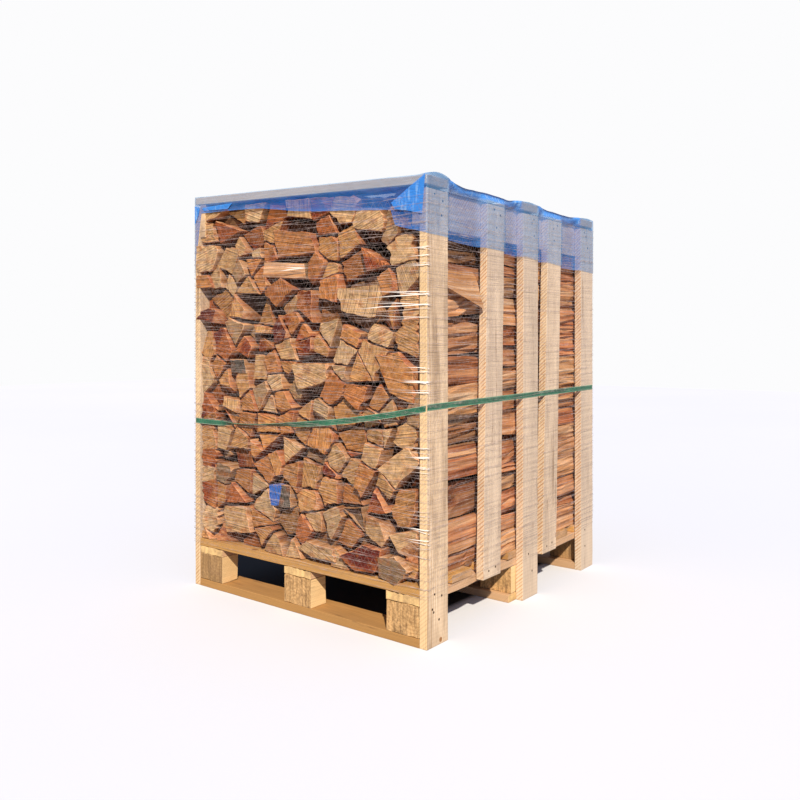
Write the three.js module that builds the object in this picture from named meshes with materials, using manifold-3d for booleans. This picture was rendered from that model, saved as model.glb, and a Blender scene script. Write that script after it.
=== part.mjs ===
// A pallet crate of split firewood, wrapped for delivery.
//
// A wooden block pallet carries three rows of 330 mm split logs, stacked between five upright
// boards on each long side. A rail along the top of each side and three boards across the top
// close the frame. A plastic film cap keeps the rain off, a stretched net runs round all four
// sides, and a woven strap under the net pulls the uprights together.
//
// Units are millimetres. +X runs to the right of the front, +Y runs back, +Z runs up.
// The origin is on the ground, under the middle of the pallet.

import * as THREE from 'three';
import * as BufferGeometryUtils from 'three/addons/utils/BufferGeometryUtils.js';
import Module from 'manifold-3d';

const wasm = await Module();
wasm.setup();

// ---- driving dimensions ------------------------------------------------------------------

const GAP = 0.3;                  // clearance kept between pieces that lie against each other

// pallet
const PALLET_WIDTH = 800;         // across the front
const PALLET_DEPTH = 1000;        // front to back: three rows of 330 mm logs
const BOARD = 22;                 // thickness of every sawn board
const BOARD_WIDTH = 95;           // width of the skids, the uprights and the top boards
const DECK_BOARD_WIDTH = 100;
const DECK_BOARD_COUNT = 7;
const STRINGER_WIDTH = 100;
const BLOCK = { width: 100, depth: 65, height: 78 };

// upright boards, the same on both long sides; `foot` and `head` are the places of a board's
// middle along the pallet at its lower and upper end
const POST_TOP = 1112;
const HANGING_FOOT = 108;         // two boards a side start at the pallet's stringers
const LONG_FOOT = 0;              // three boards a side reach the ground
const POSTS = [
  { foot: -452.5, head: -452.5, bottom: LONG_FOOT },
  { foot: -182.5, head: -158.5, bottom: HANGING_FOOT },
  { foot: 43.5, head: 48.5, bottom: LONG_FOOT },
  { foot: 170.0, head: 210.5, bottom: HANGING_FOOT },
  { foot: 452.5, head: 452.5, bottom: LONG_FOOT },
];

// top frame; the left side stands a little taller than the right one
const RAIL_HEIGHT = 100;
const RAIL_TOP = 1122;            // of the right rail
const LEFT_RAISE = 38;
const TOP_BOARD_PLACES = { front: -452.5, middle: 42, back: 450 };

// firewood
const LOG_LENGTH = 330;
const ROW_PITCH = 332;
const HEADROOM = 8;               // between the highest logs and the boards over them

// film, net and strap
const FILM = 2;                   // the crumpled film, as a plain shell
const SKIRT_FRONT = 1002;         // height of the skirt's hem on the long sides, at the front
const SKIRT_BACK = 970;           // and at the back
const NET = 1.4;                  // the strands, as a coarse flat lattice
const NET_BOTTOM = 112;
const NET_COURSES = 16;           // bands of yarn between the lower and the upper edge
const NET_COURSE_PITCH = 62;
const NET_BAND = 8;               // width of a band
const NET_CORNER = 12;            // width of the yarn gathered at each corner
const STRAP_WIDTH = 15;
const STRAP_THICKNESS = 0.8;
const STRAP_HEIGHTS = { frontRight: 583, backRight: 593, backLeft: 540, frontLeft: 502 };
const STRAP_SAG = 26;             // where it crosses the stacked log ends

// ---- heights and widths that follow ------------------------------------------------------

const BLOCK_BOTTOM = BOARD;
const STRINGER_BOTTOM = BLOCK_BOTTOM + BLOCK.height;
const DECK_BOTTOM = STRINGER_BOTTOM + BOARD;
const DECK_TOP = DECK_BOTTOM + BOARD;

const HALF_PALLET = PALLET_WIDTH / 2;
const HALF_DEPTH = PALLET_DEPTH / 2;
const HALF_WIDTH = HALF_PALLET + BOARD;          // to the outer faces of the uprights
const RAIL_INNER = HALF_PALLET - BOARD;

// The top boards lie on the outer edge of the right rail and the inner edge of the left one.
const TOP_SLOPE = LEFT_RAISE / (HALF_PALLET + RAIL_INNER);
const TOP_TILT = Math.atan(TOP_SLOPE);
const topBoardUnderside = (x) => RAIL_TOP + GAP + (HALF_PALLET - x) * TOP_SLOPE;
const topBoardTop = (x) => topBoardUnderside(x) + BOARD / Math.cos(TOP_TILT);

// ---- materials ---------------------------------------------------------------------------

const finish = (color, roughness) =>
  new THREE.MeshStandardMaterial({ color, roughness, metalness: 0 });

const newPine = '#d9ab63';
const paleBoard = '#dcc09a';
const weatheredBoard = '#a8957e';
const splitLog = '#b9793f';
const blueFilm = '#3f86dc';
const netYarn = '#e6e4ee';
const strapWeb = '#2f7a5a';

const crate = new THREE.Group();

function addPiece(parent, name, geometry, material, place = [0, 0, 0]) {
  const mesh = new THREE.Mesh(geometry, material);
  mesh.name = name;
  mesh.position.set(...place);
  parent.add(mesh);
  return mesh;
}

// ---- pallet ------------------------------------------------------------------------------

const pallet = new THREE.Group();
crate.add(pallet);

const ROWS = [
  { name: 'front', side: -1 },
  { name: 'middle', side: 0 },
  { name: 'back', side: 1 },
];
const COLUMNS = [
  { name: 'left', side: -1 },
  { name: 'middle', side: 0 },
  { name: 'right', side: 1 },
];

function buildSkids() {
  const geometry = new THREE.BoxGeometry(PALLET_WIDTH, BOARD_WIDTH, BOARD);
  for (const row of ROWS) {
    const y = row.side * (HALF_DEPTH - BOARD_WIDTH / 2);
    addPiece(pallet, `skid_${row.name}`, geometry, finish(newPine, 0.8), [0, y, BOARD / 2]);
  }
}

function buildBlocks() {
  const geometry = new THREE.BoxGeometry(BLOCK.width, BLOCK.depth, BLOCK.height);
  for (const row of ROWS) {
    for (const column of COLUMNS) {
      const x = column.side * (HALF_PALLET - BLOCK.width / 2);
      const y = row.side * (HALF_DEPTH - BLOCK.depth / 2);
      const z = BLOCK_BOTTOM + BLOCK.height / 2;
      addPiece(pallet, `block_${row.name}_${column.name}`, geometry, finish(newPine, 0.85), [x, y, z]);
    }
  }
}

function buildStringers() {
  const geometry = new THREE.BoxGeometry(STRINGER_WIDTH, PALLET_DEPTH, BOARD);
  for (const column of COLUMNS) {
    const x = column.side * (HALF_PALLET - STRINGER_WIDTH / 2);
    const z = STRINGER_BOTTOM + BOARD / 2;
    addPiece(pallet, `stringer_${column.name}`, geometry, finish(newPine, 0.8), [x, 0, z]);
  }
}

function buildDeck() {
  const geometry = new THREE.BoxGeometry(PALLET_WIDTH, DECK_BOARD_WIDTH, BOARD);
  const pitch = (PALLET_DEPTH - DECK_BOARD_WIDTH) / (DECK_BOARD_COUNT - 1);
  for (let i = 0; i < DECK_BOARD_COUNT; i += 1) {
    const y = -HALF_DEPTH + DECK_BOARD_WIDTH / 2 + i * pitch;
    const z = DECK_BOTTOM + BOARD / 2;
    addPiece(pallet, `deck_board_${i + 1}`, geometry, finish(newPine, 0.8), [0, y, z]);
  }
}

// ---- frame round the stack ---------------------------------------------------------------

const frame = new THREE.Group();
crate.add(frame);

// One upright: a board seen from the side, with its head moved along the pallet where it leans.
function postGeometry({ foot, head, bottom }, top) {
  const half = BOARD_WIDTH / 2;
  const outline = new THREE.Shape([
    new THREE.Vector2(foot - half, bottom),
    new THREE.Vector2(foot + half, bottom),
    new THREE.Vector2(head + half, top),
    new THREE.Vector2(head - half, top),
  ]);
  const geometry = new THREE.ExtrudeGeometry(outline, { depth: BOARD, bevelEnabled: false });
  geometry.rotateX(Math.PI / 2);      // the outline stands up
  geometry.rotateZ(Math.PI / 2);      // and runs along the pallet
  return geometry;
}

function buildPosts() {
  for (const side of COLUMNS.filter((column) => column.side !== 0)) {
    const top = POST_TOP + (side.side < 0 ? LEFT_RAISE : 0);
    const x = side.side > 0 ? HALF_PALLET : -HALF_WIDTH;
    POSTS.forEach((post, i) => {
      const name = `upright_${side.name}_${i + 1}`;
      addPiece(frame, name, postGeometry(post, top), finish(paleBoard, 0.8), [x, 0, 0]);
    });
  }
}

function buildRails() {
  const geometry = new THREE.BoxGeometry(BOARD, PALLET_DEPTH, RAIL_HEIGHT);
  const x = RAIL_INNER + BOARD / 2;
  const rightMiddle = RAIL_TOP - RAIL_HEIGHT / 2;
  addPiece(frame, 'top_rail_right', geometry, finish(paleBoard, 0.8), [x, 0, rightMiddle]);
  addPiece(frame, 'top_rail_left', geometry, finish(paleBoard, 0.8), [-x, 0, rightMiddle + LEFT_RAISE]);
}

// The top boards are flush with the outer faces of the uprights and slope with the frame.
function buildTopBoards() {
  const length = 2 * (HALF_WIDTH - (BOARD / 2) * Math.sin(TOP_TILT)) / Math.cos(TOP_TILT);
  const geometry = new THREE.BoxGeometry(length, BOARD_WIDTH, BOARD);
  const z = (topBoardUnderside(0) + topBoardTop(0)) / 2;
  for (const [name, y] of Object.entries(TOP_BOARD_PLACES)) {
    const board = addPiece(frame, `top_board_${name}`, geometry, finish(weatheredBoard, 0.9), [0, y, z]);
    board.rotation.y = TOP_TILT;
  }
}

// ---- firewood ----------------------------------------------------------------------------

// A prism with its outline in the XZ plane, running from `front` to `back` along Y.
function prismAlongY(points, front, back) {
  const outline = new THREE.Shape(points.map(([x, z]) => new THREE.Vector2(x, -z)));
  const geometry = new THREE.ExtrudeGeometry(outline, { depth: back - front, bevelEnabled: false });
  geometry.rotateX(-Math.PI / 2);     // (x, -z, y) becomes (x, y, z)
  geometry.translate(0, front, 0);
  return geometry;
}

// Each row of logs fills the crate from the deck up to the top boards, and is narrower where
// the rails run along the inside of the uprights.
function buildLogRows() {
  const wide = HALF_PALLET - GAP;
  const narrow = RAIL_INNER - GAP;
  const railUnderside = RAIL_TOP - RAIL_HEIGHT - GAP;
  const stackTop = (x) => topBoardUnderside(x) - HEADROOM;
  const outline = [
    [-wide, DECK_TOP + GAP],
    [wide, DECK_TOP + GAP],
    [wide, railUnderside],
    [narrow, railUnderside],
    [narrow, stackTop(narrow)],
    [-narrow, stackTop(-narrow)],
    [-narrow, railUnderside + LEFT_RAISE],
    [-wide, railUnderside + LEFT_RAISE],
  ];
  for (const row of ROWS) {
    const middle = row.side * ROW_PITCH;
    const geometry = prismAlongY(outline, middle - LOG_LENGTH / 2, middle + LOG_LENGTH / 2);
    addPiece(crate, `log_row_${row.name}`, geometry, finish(splitLog, 0.9));
  }
}

// ---- film, net and strap -----------------------------------------------------------------

function toManifold(geometry) {
  const bare = geometry.clone();
  bare.deleteAttribute('normal');
  bare.deleteAttribute('uv');
  const merged = BufferGeometryUtils.mergeVertices(bare, 1e-4);
  return new wasm.Manifold(new wasm.Mesh({
    numProp: 3,
    vertProperties: new Float32Array(merged.attributes.position.array),
    triVerts: new Uint32Array(merged.index.array),
  }));
}

function fromManifold(solid) {
  const { vertProperties, triVerts } = solid.getMesh();
  const geometry = new THREE.BufferGeometry();
  geometry.setAttribute('position', new THREE.BufferAttribute(vertProperties, 3));
  geometry.setIndex(new THREE.BufferAttribute(triVerts, 1));
  geometry.computeVertexNormals();
  return geometry;
}

// The film cap is a shell open at the bottom. Its skirt hangs down over the rails on the long
// sides, and is gathered up higher on the front and back, with a fold at each front corner.
function buildFilmCap() {
  const inner = HALF_WIDTH + GAP;
  const outer = inner + FILM;
  const innerFront = HALF_DEPTH + GAP;
  const outerFront = innerFront + FILM;
  const low = SKIRT_BACK - 10;
  const roof = (x, lift) => topBoardTop(x) + GAP + lift;
  const outside = prismAlongY(
    [[-outer, low], [outer, low], [outer, roof(outer, FILM)], [-outer, roof(-outer, FILM)]],
    -outerFront, outerFront);
  const inside = prismAlongY(
    [[-inner, low - 10], [inner, low - 10], [inner, roof(inner, 0)], [-inner, roof(-inner, 0)]],
    -innerFront, innerFront);

  // what lies under the hem, seen from the side
  const reach = outerFront + 10;
  const hemAt = (y) => SKIRT_FRONT + (SKIRT_BACK - SKIRT_FRONT) * (y + HALF_DEPTH) / PALLET_DEPTH;
  const underHem = new THREE.ExtrudeGeometry(new THREE.Shape([
    new THREE.Vector2(-reach, low - 20),
    new THREE.Vector2(reach, low - 20),
    new THREE.Vector2(reach, hemAt(reach)),
    new THREE.Vector2(-reach, hemAt(-reach)),
  ]), { depth: 2 * outer + 20, bevelEnabled: false });
  underHem.rotateX(Math.PI / 2);
  underHem.rotateZ(Math.PI / 2);
  underHem.translate(-outer - 10, 0, 0);

  // what lies under the raised hem of the front and back walls, seen from the front
  const raisedHem = [
    [-390, low - 20],
    [385, low - 20],
    [385, SKIRT_FRONT + 6],
    [343, 1040],
    [330, 1066],
    [168, 1074],
    [10, 1095],
    [-136, 1122],
    [-390, 1137],
  ];
  const underRaisedHem = prismAlongY(raisedHem, -reach, reach);

  const cap = toManifold(outside)
    .subtract(toManifold(inside))
    .subtract(toManifold(underHem))
    .subtract(toManifold(underRaisedHem));
  addPiece(crate, 'film_cap', fromManifold(cap), finish(blueFilm, 0.3));
}

// A closed band round the crate: a rectangle with a rectangular hole, `height` tall.
// Each side has `steps` stretches, so that the band can follow a curve.
function bandGeometry(halfWidth, halfDepth, thickness, height, steps) {
  const loop = (x, y) => {
    const corners = [[x, -y], [x, y], [-x, y], [-x, -y]];
    return corners.flatMap(([x0, y0], i) => {
      const [x1, y1] = corners[(i + 1) % corners.length];
      return Array.from({ length: steps }, (_, k) =>
        new THREE.Vector2(x0 + (x1 - x0) * k / steps, y0 + (y1 - y0) * k / steps));
    });
  };
  const outline = new THREE.Shape(loop(halfWidth + thickness, halfDepth + thickness));
  outline.holes.push(new THREE.Path(loop(halfWidth, halfDepth).reverse()));
  return new THREE.ExtrudeGeometry(outline, { depth: height, bevelEnabled: false });
}

// The net is stretched flat from corner to corner over the skirt of the film. A sleeve is cut
// open between its bands, by bars that pass through two opposite sides at once. Each side
// keeps one upright tie in its middle.
function buildNet() {
  const clear = FILM + 2 * GAP;
  const halfWidth = HALF_WIDTH + clear;
  const halfDepth = HALF_DEPTH + clear;
  const height = NET_COURSES * NET_COURSE_PITCH + NET_BAND;
  let net = toManifold(bandGeometry(halfWidth, halfDepth, NET, height, 1));

  const openHeight = NET_COURSE_PITCH - NET_BAND;
  const reach = 2 * (halfDepth + 20);
  const frontOpening = halfWidth - NET_CORNER - NET_BAND / 2;
  const sideOpening = halfDepth - NET_CORNER - NET_BAND / 2;
  for (let course = 0; course < NET_COURSES; course += 1) {
    const z = NET_BAND + course * NET_COURSE_PITCH + openHeight / 2;
    for (const half of [-1, 1]) {
      const throughFront = new THREE.BoxGeometry(frontOpening, reach, openHeight);
      throughFront.translate(half * (NET_BAND + frontOpening) / 2, 0, z);
      const throughSides = new THREE.BoxGeometry(reach, sideOpening, openHeight);
      throughSides.translate(0, half * (NET_BAND + sideOpening) / 2, z);
      net = net.subtract(toManifold(throughFront)).subtract(toManifold(throughSides));
    }
  }
  addPiece(crate, 'wrap_net', fromManifold(net), finish(netYarn, 0.4), [0, 0, NET_BOTTOM]);
}

// Height of the strap's middle at a place on its loop: straight along the uprights, sagging
// where it crosses the log ends of the front and back.
function strapHeight(x, y) {
  const across = (x + HALF_WIDTH) / (2 * HALF_WIDTH);
  const along = (y + HALF_DEPTH) / (2 * HALF_DEPTH);
  const h = STRAP_HEIGHTS;
  const front = h.frontLeft + (h.frontRight - h.frontLeft) * across;
  const back = h.backLeft + (h.backRight - h.backLeft) * across;
  const sag = 4 * STRAP_SAG * across * (1 - across);
  return front + (back - front) * along - Math.max(0, sag);
}

function buildStrap() {
  const geometry = bandGeometry(HALF_WIDTH + GAP, HALF_DEPTH + GAP, STRAP_THICKNESS, STRAP_WIDTH, 16);
  const position = geometry.attributes.position;
  for (let i = 0; i < position.count; i += 1) {
    const height = strapHeight(position.getX(i), position.getY(i));
    position.setZ(i, position.getZ(i) - STRAP_WIDTH / 2 + height);
  }
  geometry.computeVertexNormals();
  addPiece(crate, 'strap', geometry, finish(strapWeb, 0.5));
}

buildSkids();
buildBlocks();
buildStringers();
buildDeck();
buildPosts();
buildRails();
buildTopBoards();
buildLogRows();
buildFilmCap();
buildNet();
buildStrap();

export default crate;
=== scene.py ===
# %% [markdown]
# # A pallet crate of split firewood
#
# The real object is a wooden block pallet with upright boards nailed round three rows of split
# logs, a blue film cap over the top, a green strap and a stretched net. The construction already
# exists as a fixed frame of plain solids. This lesson gives every one of them its real surface:
# sawn boards, split logs, creased film, yarn and woven strap. Everything is in metres.

# %% load the frame
import math
import random
from functools import partial

import bmesh
import bpy
from mathutils import Matrix, Vector, noise


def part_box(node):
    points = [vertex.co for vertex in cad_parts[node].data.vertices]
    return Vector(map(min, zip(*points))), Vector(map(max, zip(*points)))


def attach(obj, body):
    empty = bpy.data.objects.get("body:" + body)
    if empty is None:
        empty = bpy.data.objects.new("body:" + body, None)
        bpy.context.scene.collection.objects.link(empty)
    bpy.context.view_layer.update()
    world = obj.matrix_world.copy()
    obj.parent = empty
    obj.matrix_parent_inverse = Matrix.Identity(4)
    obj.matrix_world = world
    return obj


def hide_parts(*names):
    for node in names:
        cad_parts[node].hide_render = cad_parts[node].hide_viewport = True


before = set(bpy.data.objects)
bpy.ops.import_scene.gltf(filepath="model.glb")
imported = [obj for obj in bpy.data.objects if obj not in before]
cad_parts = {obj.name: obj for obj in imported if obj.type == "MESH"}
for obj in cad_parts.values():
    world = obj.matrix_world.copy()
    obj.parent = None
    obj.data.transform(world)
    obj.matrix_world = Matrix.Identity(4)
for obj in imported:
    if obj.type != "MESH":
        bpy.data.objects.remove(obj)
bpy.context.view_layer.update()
MM = 0.001

# %% [markdown]
# ## The camera
#
# It comes first, so that every later look at the picture is from the same place. It stands at
# eye level with the load, in front of it and to the right, and looks level. A level camera keeps
# the uprights parallel. The lens shift moves the picture without tilting the camera.

# %% camera
CAMERA_PLACE = (1.496, -2.139, 0.735)
CAMERA_TURN = 40.42       # degrees round the vertical, from looking along +Y
SENSOR_MM = 36
LENS_MM = 36.5

camera_data = bpy.data.cameras.new("camera")
camera_data.sensor_width = SENSOR_MM
camera_data.lens = LENS_MM
camera_data.shift_x = 0.094
camera_data.shift_y = -0.0696
camera = bpy.data.objects.new("camera", camera_data)
camera.location = CAMERA_PLACE
camera.rotation_euler = (math.radians(90), 0, math.radians(CAMERA_TURN))
bpy.context.scene.collection.objects.link(camera)
bpy.context.scene.camera = camera
print("camera at", CAMERA_PLACE)

# %% [markdown]
# ## Floor and light
#
# The floor and the sky are plain and pale, but a shadow is painted on the floor under the load.
# One sun stands half way up, to the front and right, as on a clear day, so that the gaps between
# the logs fall dark and the saw marks show. The light that the sky gives is a weak blue, but the
# sky that the camera sees is nearly white, and the floor looks paler than the light that it throws
# back up. The standard view keeps the colours of wood as they were chosen.

# %% floor, sky and sun
def linear(hex_colour):
    """An sRGB hex value as the linear colour that shaders and lamps take."""
    channels = [int(hex_colour[i:i + 2], 16) / 255 for i in (1, 3, 5)]
    return [c / 12.92 if c <= 0.04045 else ((c + 0.055) / 1.055) ** 2.4 for c in channels] + [1]


def fill(node, *parts, **named):
    """Fills a node's sockets, in their order or by name. Another node is linked by its first
    output, an output is linked as it is, and a colour is an sRGB hex value."""
    sockets = [socket for socket in node.inputs if socket.enabled]
    wanted = list(zip(sockets, parts))
    for name, value in named.items():
        wanted.append((next(s for s in sockets if s.name == name.replace("_", " ")), value))
    for socket, value in wanted:
        if isinstance(value, bpy.types.Node):
            value = next(output for output in value.outputs if output.enabled)
        if isinstance(value, bpy.types.NodeSocket):
            node.id_data.links.new(value, socket)
        else:
            socket.default_value = linear(value) if isinstance(value, str) else value


MODES = {"Math": "operation", "VectorMath": "operation", "Mix": "data_type"}


def add(tree, kind, *parts, stops=(), **named):
    """Adds a shader node: its kind, which a mode may follow, then what fills its sockets in
    order. Names in small letters are its settings, and all others are sockets."""
    kind, _, mode = kind.partition(" ")
    added = tree.nodes.new("ShaderNode" + kind)
    if mode:
        setattr(added, MODES[kind], mode)
    for name in [name for name in named if name.islower()]:
        setattr(added, name, named.pop(name))
    for number, (place, hex_colour) in enumerate(stops):
        if number == len(added.color_ramp.elements):
            added.color_ramp.elements.new(1)
        added.color_ramp.elements[number].position = place
        added.color_ramp.elements[number].color = linear(hex_colour)
    fill(added, *parts, **named)
    return added


def new_material(name, **surface):
    """A material, what adds nodes to it, and its Principled shader with plain numbers set."""
    material = bpy.data.materials.new(name)
    material.use_nodes = True
    shader = material.node_tree.nodes["Principled BSDF"]
    fill(shader, **surface)
    return material, partial(add, material.node_tree), shader


def add_piece(name, bm, material, slot=None, replaces=()):
    """Turns a bmesh into a finished object, which rides on the crate when it is given a slot."""
    mesh = bpy.data.meshes.new(name)
    bm.to_mesh(mesh)
    bm.free()
    mesh.materials.append(material)
    piece = bpy.data.objects.new(name, mesh)
    bpy.context.scene.collection.objects.link(piece)
    if slot:
        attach(piece, "root")
    if replaces:
        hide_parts(*replaces)
    return piece


FLOOR_HALF = 12               # metres
floor_material, floor_node, floor_shader = new_material("pale screed floor", Roughness=0.9)
floor_grain = floor_node("TexNoise", Scale=3, Detail=6)
floor_colour = floor_node("ValToRGB", floor_grain, stops=[(0.3, "#dbe3f1"), (0.7, "#e2e9f6")])

# painted shadow: the ground under the load, where the sun never comes, and a little way along its
# shadow side is painted almost black
# each edge is a direction, and where the ground is lit and where it is painted shaded along it
PAINTED_SHADOW_EDGES = (((1, 0, 0), 0.30, 0.28), ((1, 0, 0), -0.68, -0.60), ((0, 1, 0), -0.41, -0.39),
              ((0, 1, 0), 0.58, 0.48), ((0.755, 0.656, 0), -0.63, -0.59))
floor_place = floor_node("TexCoord").outputs["Object"]
painted_shadow = None
for way, lit_at, shaded_at in PAINTED_SHADOW_EDGES:
    reach = floor_node("VectorMath DOT_PRODUCT", floor_place, way)
    inside = floor_node("MapRange", reach, lit_at, shaded_at)
    if painted_shadow:
        inside = floor_node("Math MULTIPLY", painted_shadow, inside)
    painted_shadow = inside
floor_with_shadow = floor_node("Mix RGBA", painted_shadow, floor_colour, "#15151a")
floor_seen = floor_node("LightPath").outputs["Is Camera Ray"]
floor_look = floor_node("Mix RGBA", floor_seen, "#8f8f90", floor_with_shadow)
fill(floor_shader, Base_Color=floor_look)

floor_bm = bmesh.new()
bmesh.ops.create_grid(floor_bm, x_segments=1, y_segments=1, size=FLOOR_HALF)
floor = add_piece("floor", floor_bm, floor_material)

world = bpy.data.worlds.new("clear sky")
world.use_nodes = True
sky_node = partial(add, world.node_tree)
ray = sky_node("LightPath").outputs["Is Camera Ray"]
sky = sky_node("Mix RGBA", ray, "#c3d3f7", "#fcfcfd")
sky_light = sky_node("MapRange", ray, 0, 1, 0.5, 1.0)
fill(world.node_tree.nodes["Background"], sky, sky_light)
bpy.context.scene.world = world
bpy.context.scene.view_settings.view_transform = "Standard"


SUN_TURN = 41                 # degrees round the vertical, counted as the camera's turn is
SUN_HEIGHT = 38               # degrees above the horizon
sun_lamp = bpy.data.lights.new("sun", "SUN")
sun_lamp.energy = 5.6
sun_lamp.angle = math.radians(1.5)
sun_lamp.color = linear("#ffedd4")[:3]
sun = bpy.data.objects.new("sun", sun_lamp)
sun.rotation_euler = (math.radians(90 - SUN_HEIGHT), 0, math.radians(SUN_TURN))
bpy.context.scene.collection.objects.link(sun)
print("sky and sun ready")

# %% [markdown]
# ## A coordinate for grain
#
# Wood is a solid pattern: rings round the pith of the tree, drawn out along the grain. So each
# board and each log carries its own place in its tree as a vertex attribute, "grain": two numbers
# across and one along, in metres. One set of nodes can then draw any of them, on a face and on a
# cut end alike, and no two boards look the same, because each gets a different place.

# %% the sawn board
AXES = {"x": (1, 2, 0), "y": (0, 2, 1), "z": (1, 0, 2)}     # across, thickness, along
ALONG = {"x": Vector((1, 0, 0)), "y": Vector((0, 1, 0)), "z": Vector((0, 0, 1))}
BOARD_STEP = 45 * MM
ARRIS_WEAR = 1.3 * MM


def everything(bm):
    return bm.verts[:] + bm.edges[:] + bm.faces[:]


def clean_copy(node):
    """The CAD solid as a bmesh of whole flat faces, in place of its loose triangles."""
    bm = bmesh.new()
    bm.from_mesh(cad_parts[node].data)
    bmesh.ops.remove_doubles(bm, verts=bm.verts[:], dist=0.02 * MM)
    bmesh.ops.dissolve_limit(bm, angle_limit=math.radians(0.5), verts=bm.verts[:], edges=bm.edges[:])
    return bm


def cut_at(bm, place, normal, clear=False):
    bmesh.ops.bisect_plane(bm, geom=everything(bm), plane_co=place, plane_no=normal, clear_outer=clear)


BOARD_AGES = {"block_front_left": 1.0, "block_front_middle": 0.36, "block_front_right": 0.28,
              "upright_right_1": 0.1, "upright_right_2": 0.8, "upright_right_3": 0.85,
              "upright_right_4": 0.7, "upright_right_5": 1.0, "upright_left_1": 0.4,
              "skid_front": 1.0, "skid_middle": 0.7, "skid_back": 0.7,
              "deck_board_1": 0.6, "stringer_right": 0.9}          # 0 is new, 1 is grey


def saw_board(node, axis, material, slot, seed):
    """A board with worn arrises and its own place in the tree, in place of the CAD node's block."""
    rng = random.Random(seed)
    low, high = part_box(node)
    along = ALONG[axis]
    length = (high - low).dot(along)
    bm = clean_copy(node)
    pieces = max(2, round(length / BOARD_STEP))
    for i in range(1, pieces):
        cut_at(bm, low + along * (length * i / pieces), along)
    frayed = axis == "y" and material.name.startswith("sawn pine")
    if frayed:
        # cut ends fray, so their level edges get points to move
        level = [e for e in bm.edges if abs((e.verts[0].co - e.verts[1].co).normalized().x) > 0.9
                 and min(abs(e.verts[0].co.y - low.y), abs(e.verts[0].co.y - high.y)) < MM]
        bmesh.ops.subdivide_edges(bm, edges=level, cuts=11)
    arrises = [e for e in bm.edges if e.calc_face_angle(0) > math.radians(40)]
    bmesh.ops.bevel(bm, geom=arrises, offset=ARRIS_WEAR, affect="EDGES", segments=2, profile=0.5,
                    material=-1, clamp_overlap=True)

    # the saw leaves the faces slightly uneven, and handling chips the arrises
    bm.normal_update()
    shift = Vector([rng.uniform(0, 9) for _ in range(3)])
    for vert in bm.verts:
        corner = max((e.calc_face_angle(0) for e in vert.link_edges), default=0) > math.radians(20)
        depth = (1.1 if corner else 0.35) * MM
        vert.co -= vert.normal * depth * max(0, noise.noise(vert.co * 26 + shift) + 0.25)
        if corner and frayed:
            vert.co -= vert.normal * 3.2 * MM * max(0, noise.noise(vert.co * 90 + shift) + 0.2)

    grain = bm.verts.layers.float_vector.new("grain")
    end_face, edge_face, age = (bm.faces.layers.float.new(name)
                                for name in ("end_face", "edge_face", "age"))
    board_age = BOARD_AGES.get(node, rng.random())
    across, thick, run = AXES[axis]
    middle = (low + high) / 2
    pith = Vector((rng.uniform(-0.05, 0.05), rng.choice((-1, 1)) * rng.uniform(0.02, 0.07),
                   rng.uniform(0, 5)))
    for vert in bm.verts:
        place = vert.co - middle
        vert[grain] = Vector((place[across], place[thick], place[run])) + pith
    for face in bm.faces:
        face[end_face] = 1 if abs(face.normal.dot(along)) > 0.75 else 0
        face[edge_face] = 1 if abs(face.normal[across]) > 0.75 else 0
        face[age] = board_age
    return add_piece(f"{node}_wood", bm, material, slot, [node])


print("boards are cut about every 45 mm, and worn by up to 1 mm")

# %% [markdown]
# ## Sawn softwood
#
# Pallet boards are pine or spruce, sawn rough and left unplaned. The eye sees pale wood with
# slightly darker latewood lines, small brown knots, a fuzz of fine fibres and the ridges that the
# saw left across the board. The rings are a wave texture round the pith, bent by slow noise. The
# knots come from a sparse flat cell pattern. Growth rings are 4 mm apart and saw ridges 6 mm.

# %% sawn wood material
RING_WAVE = 0.314                     # a wave texture's scale times its period in metres


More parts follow.
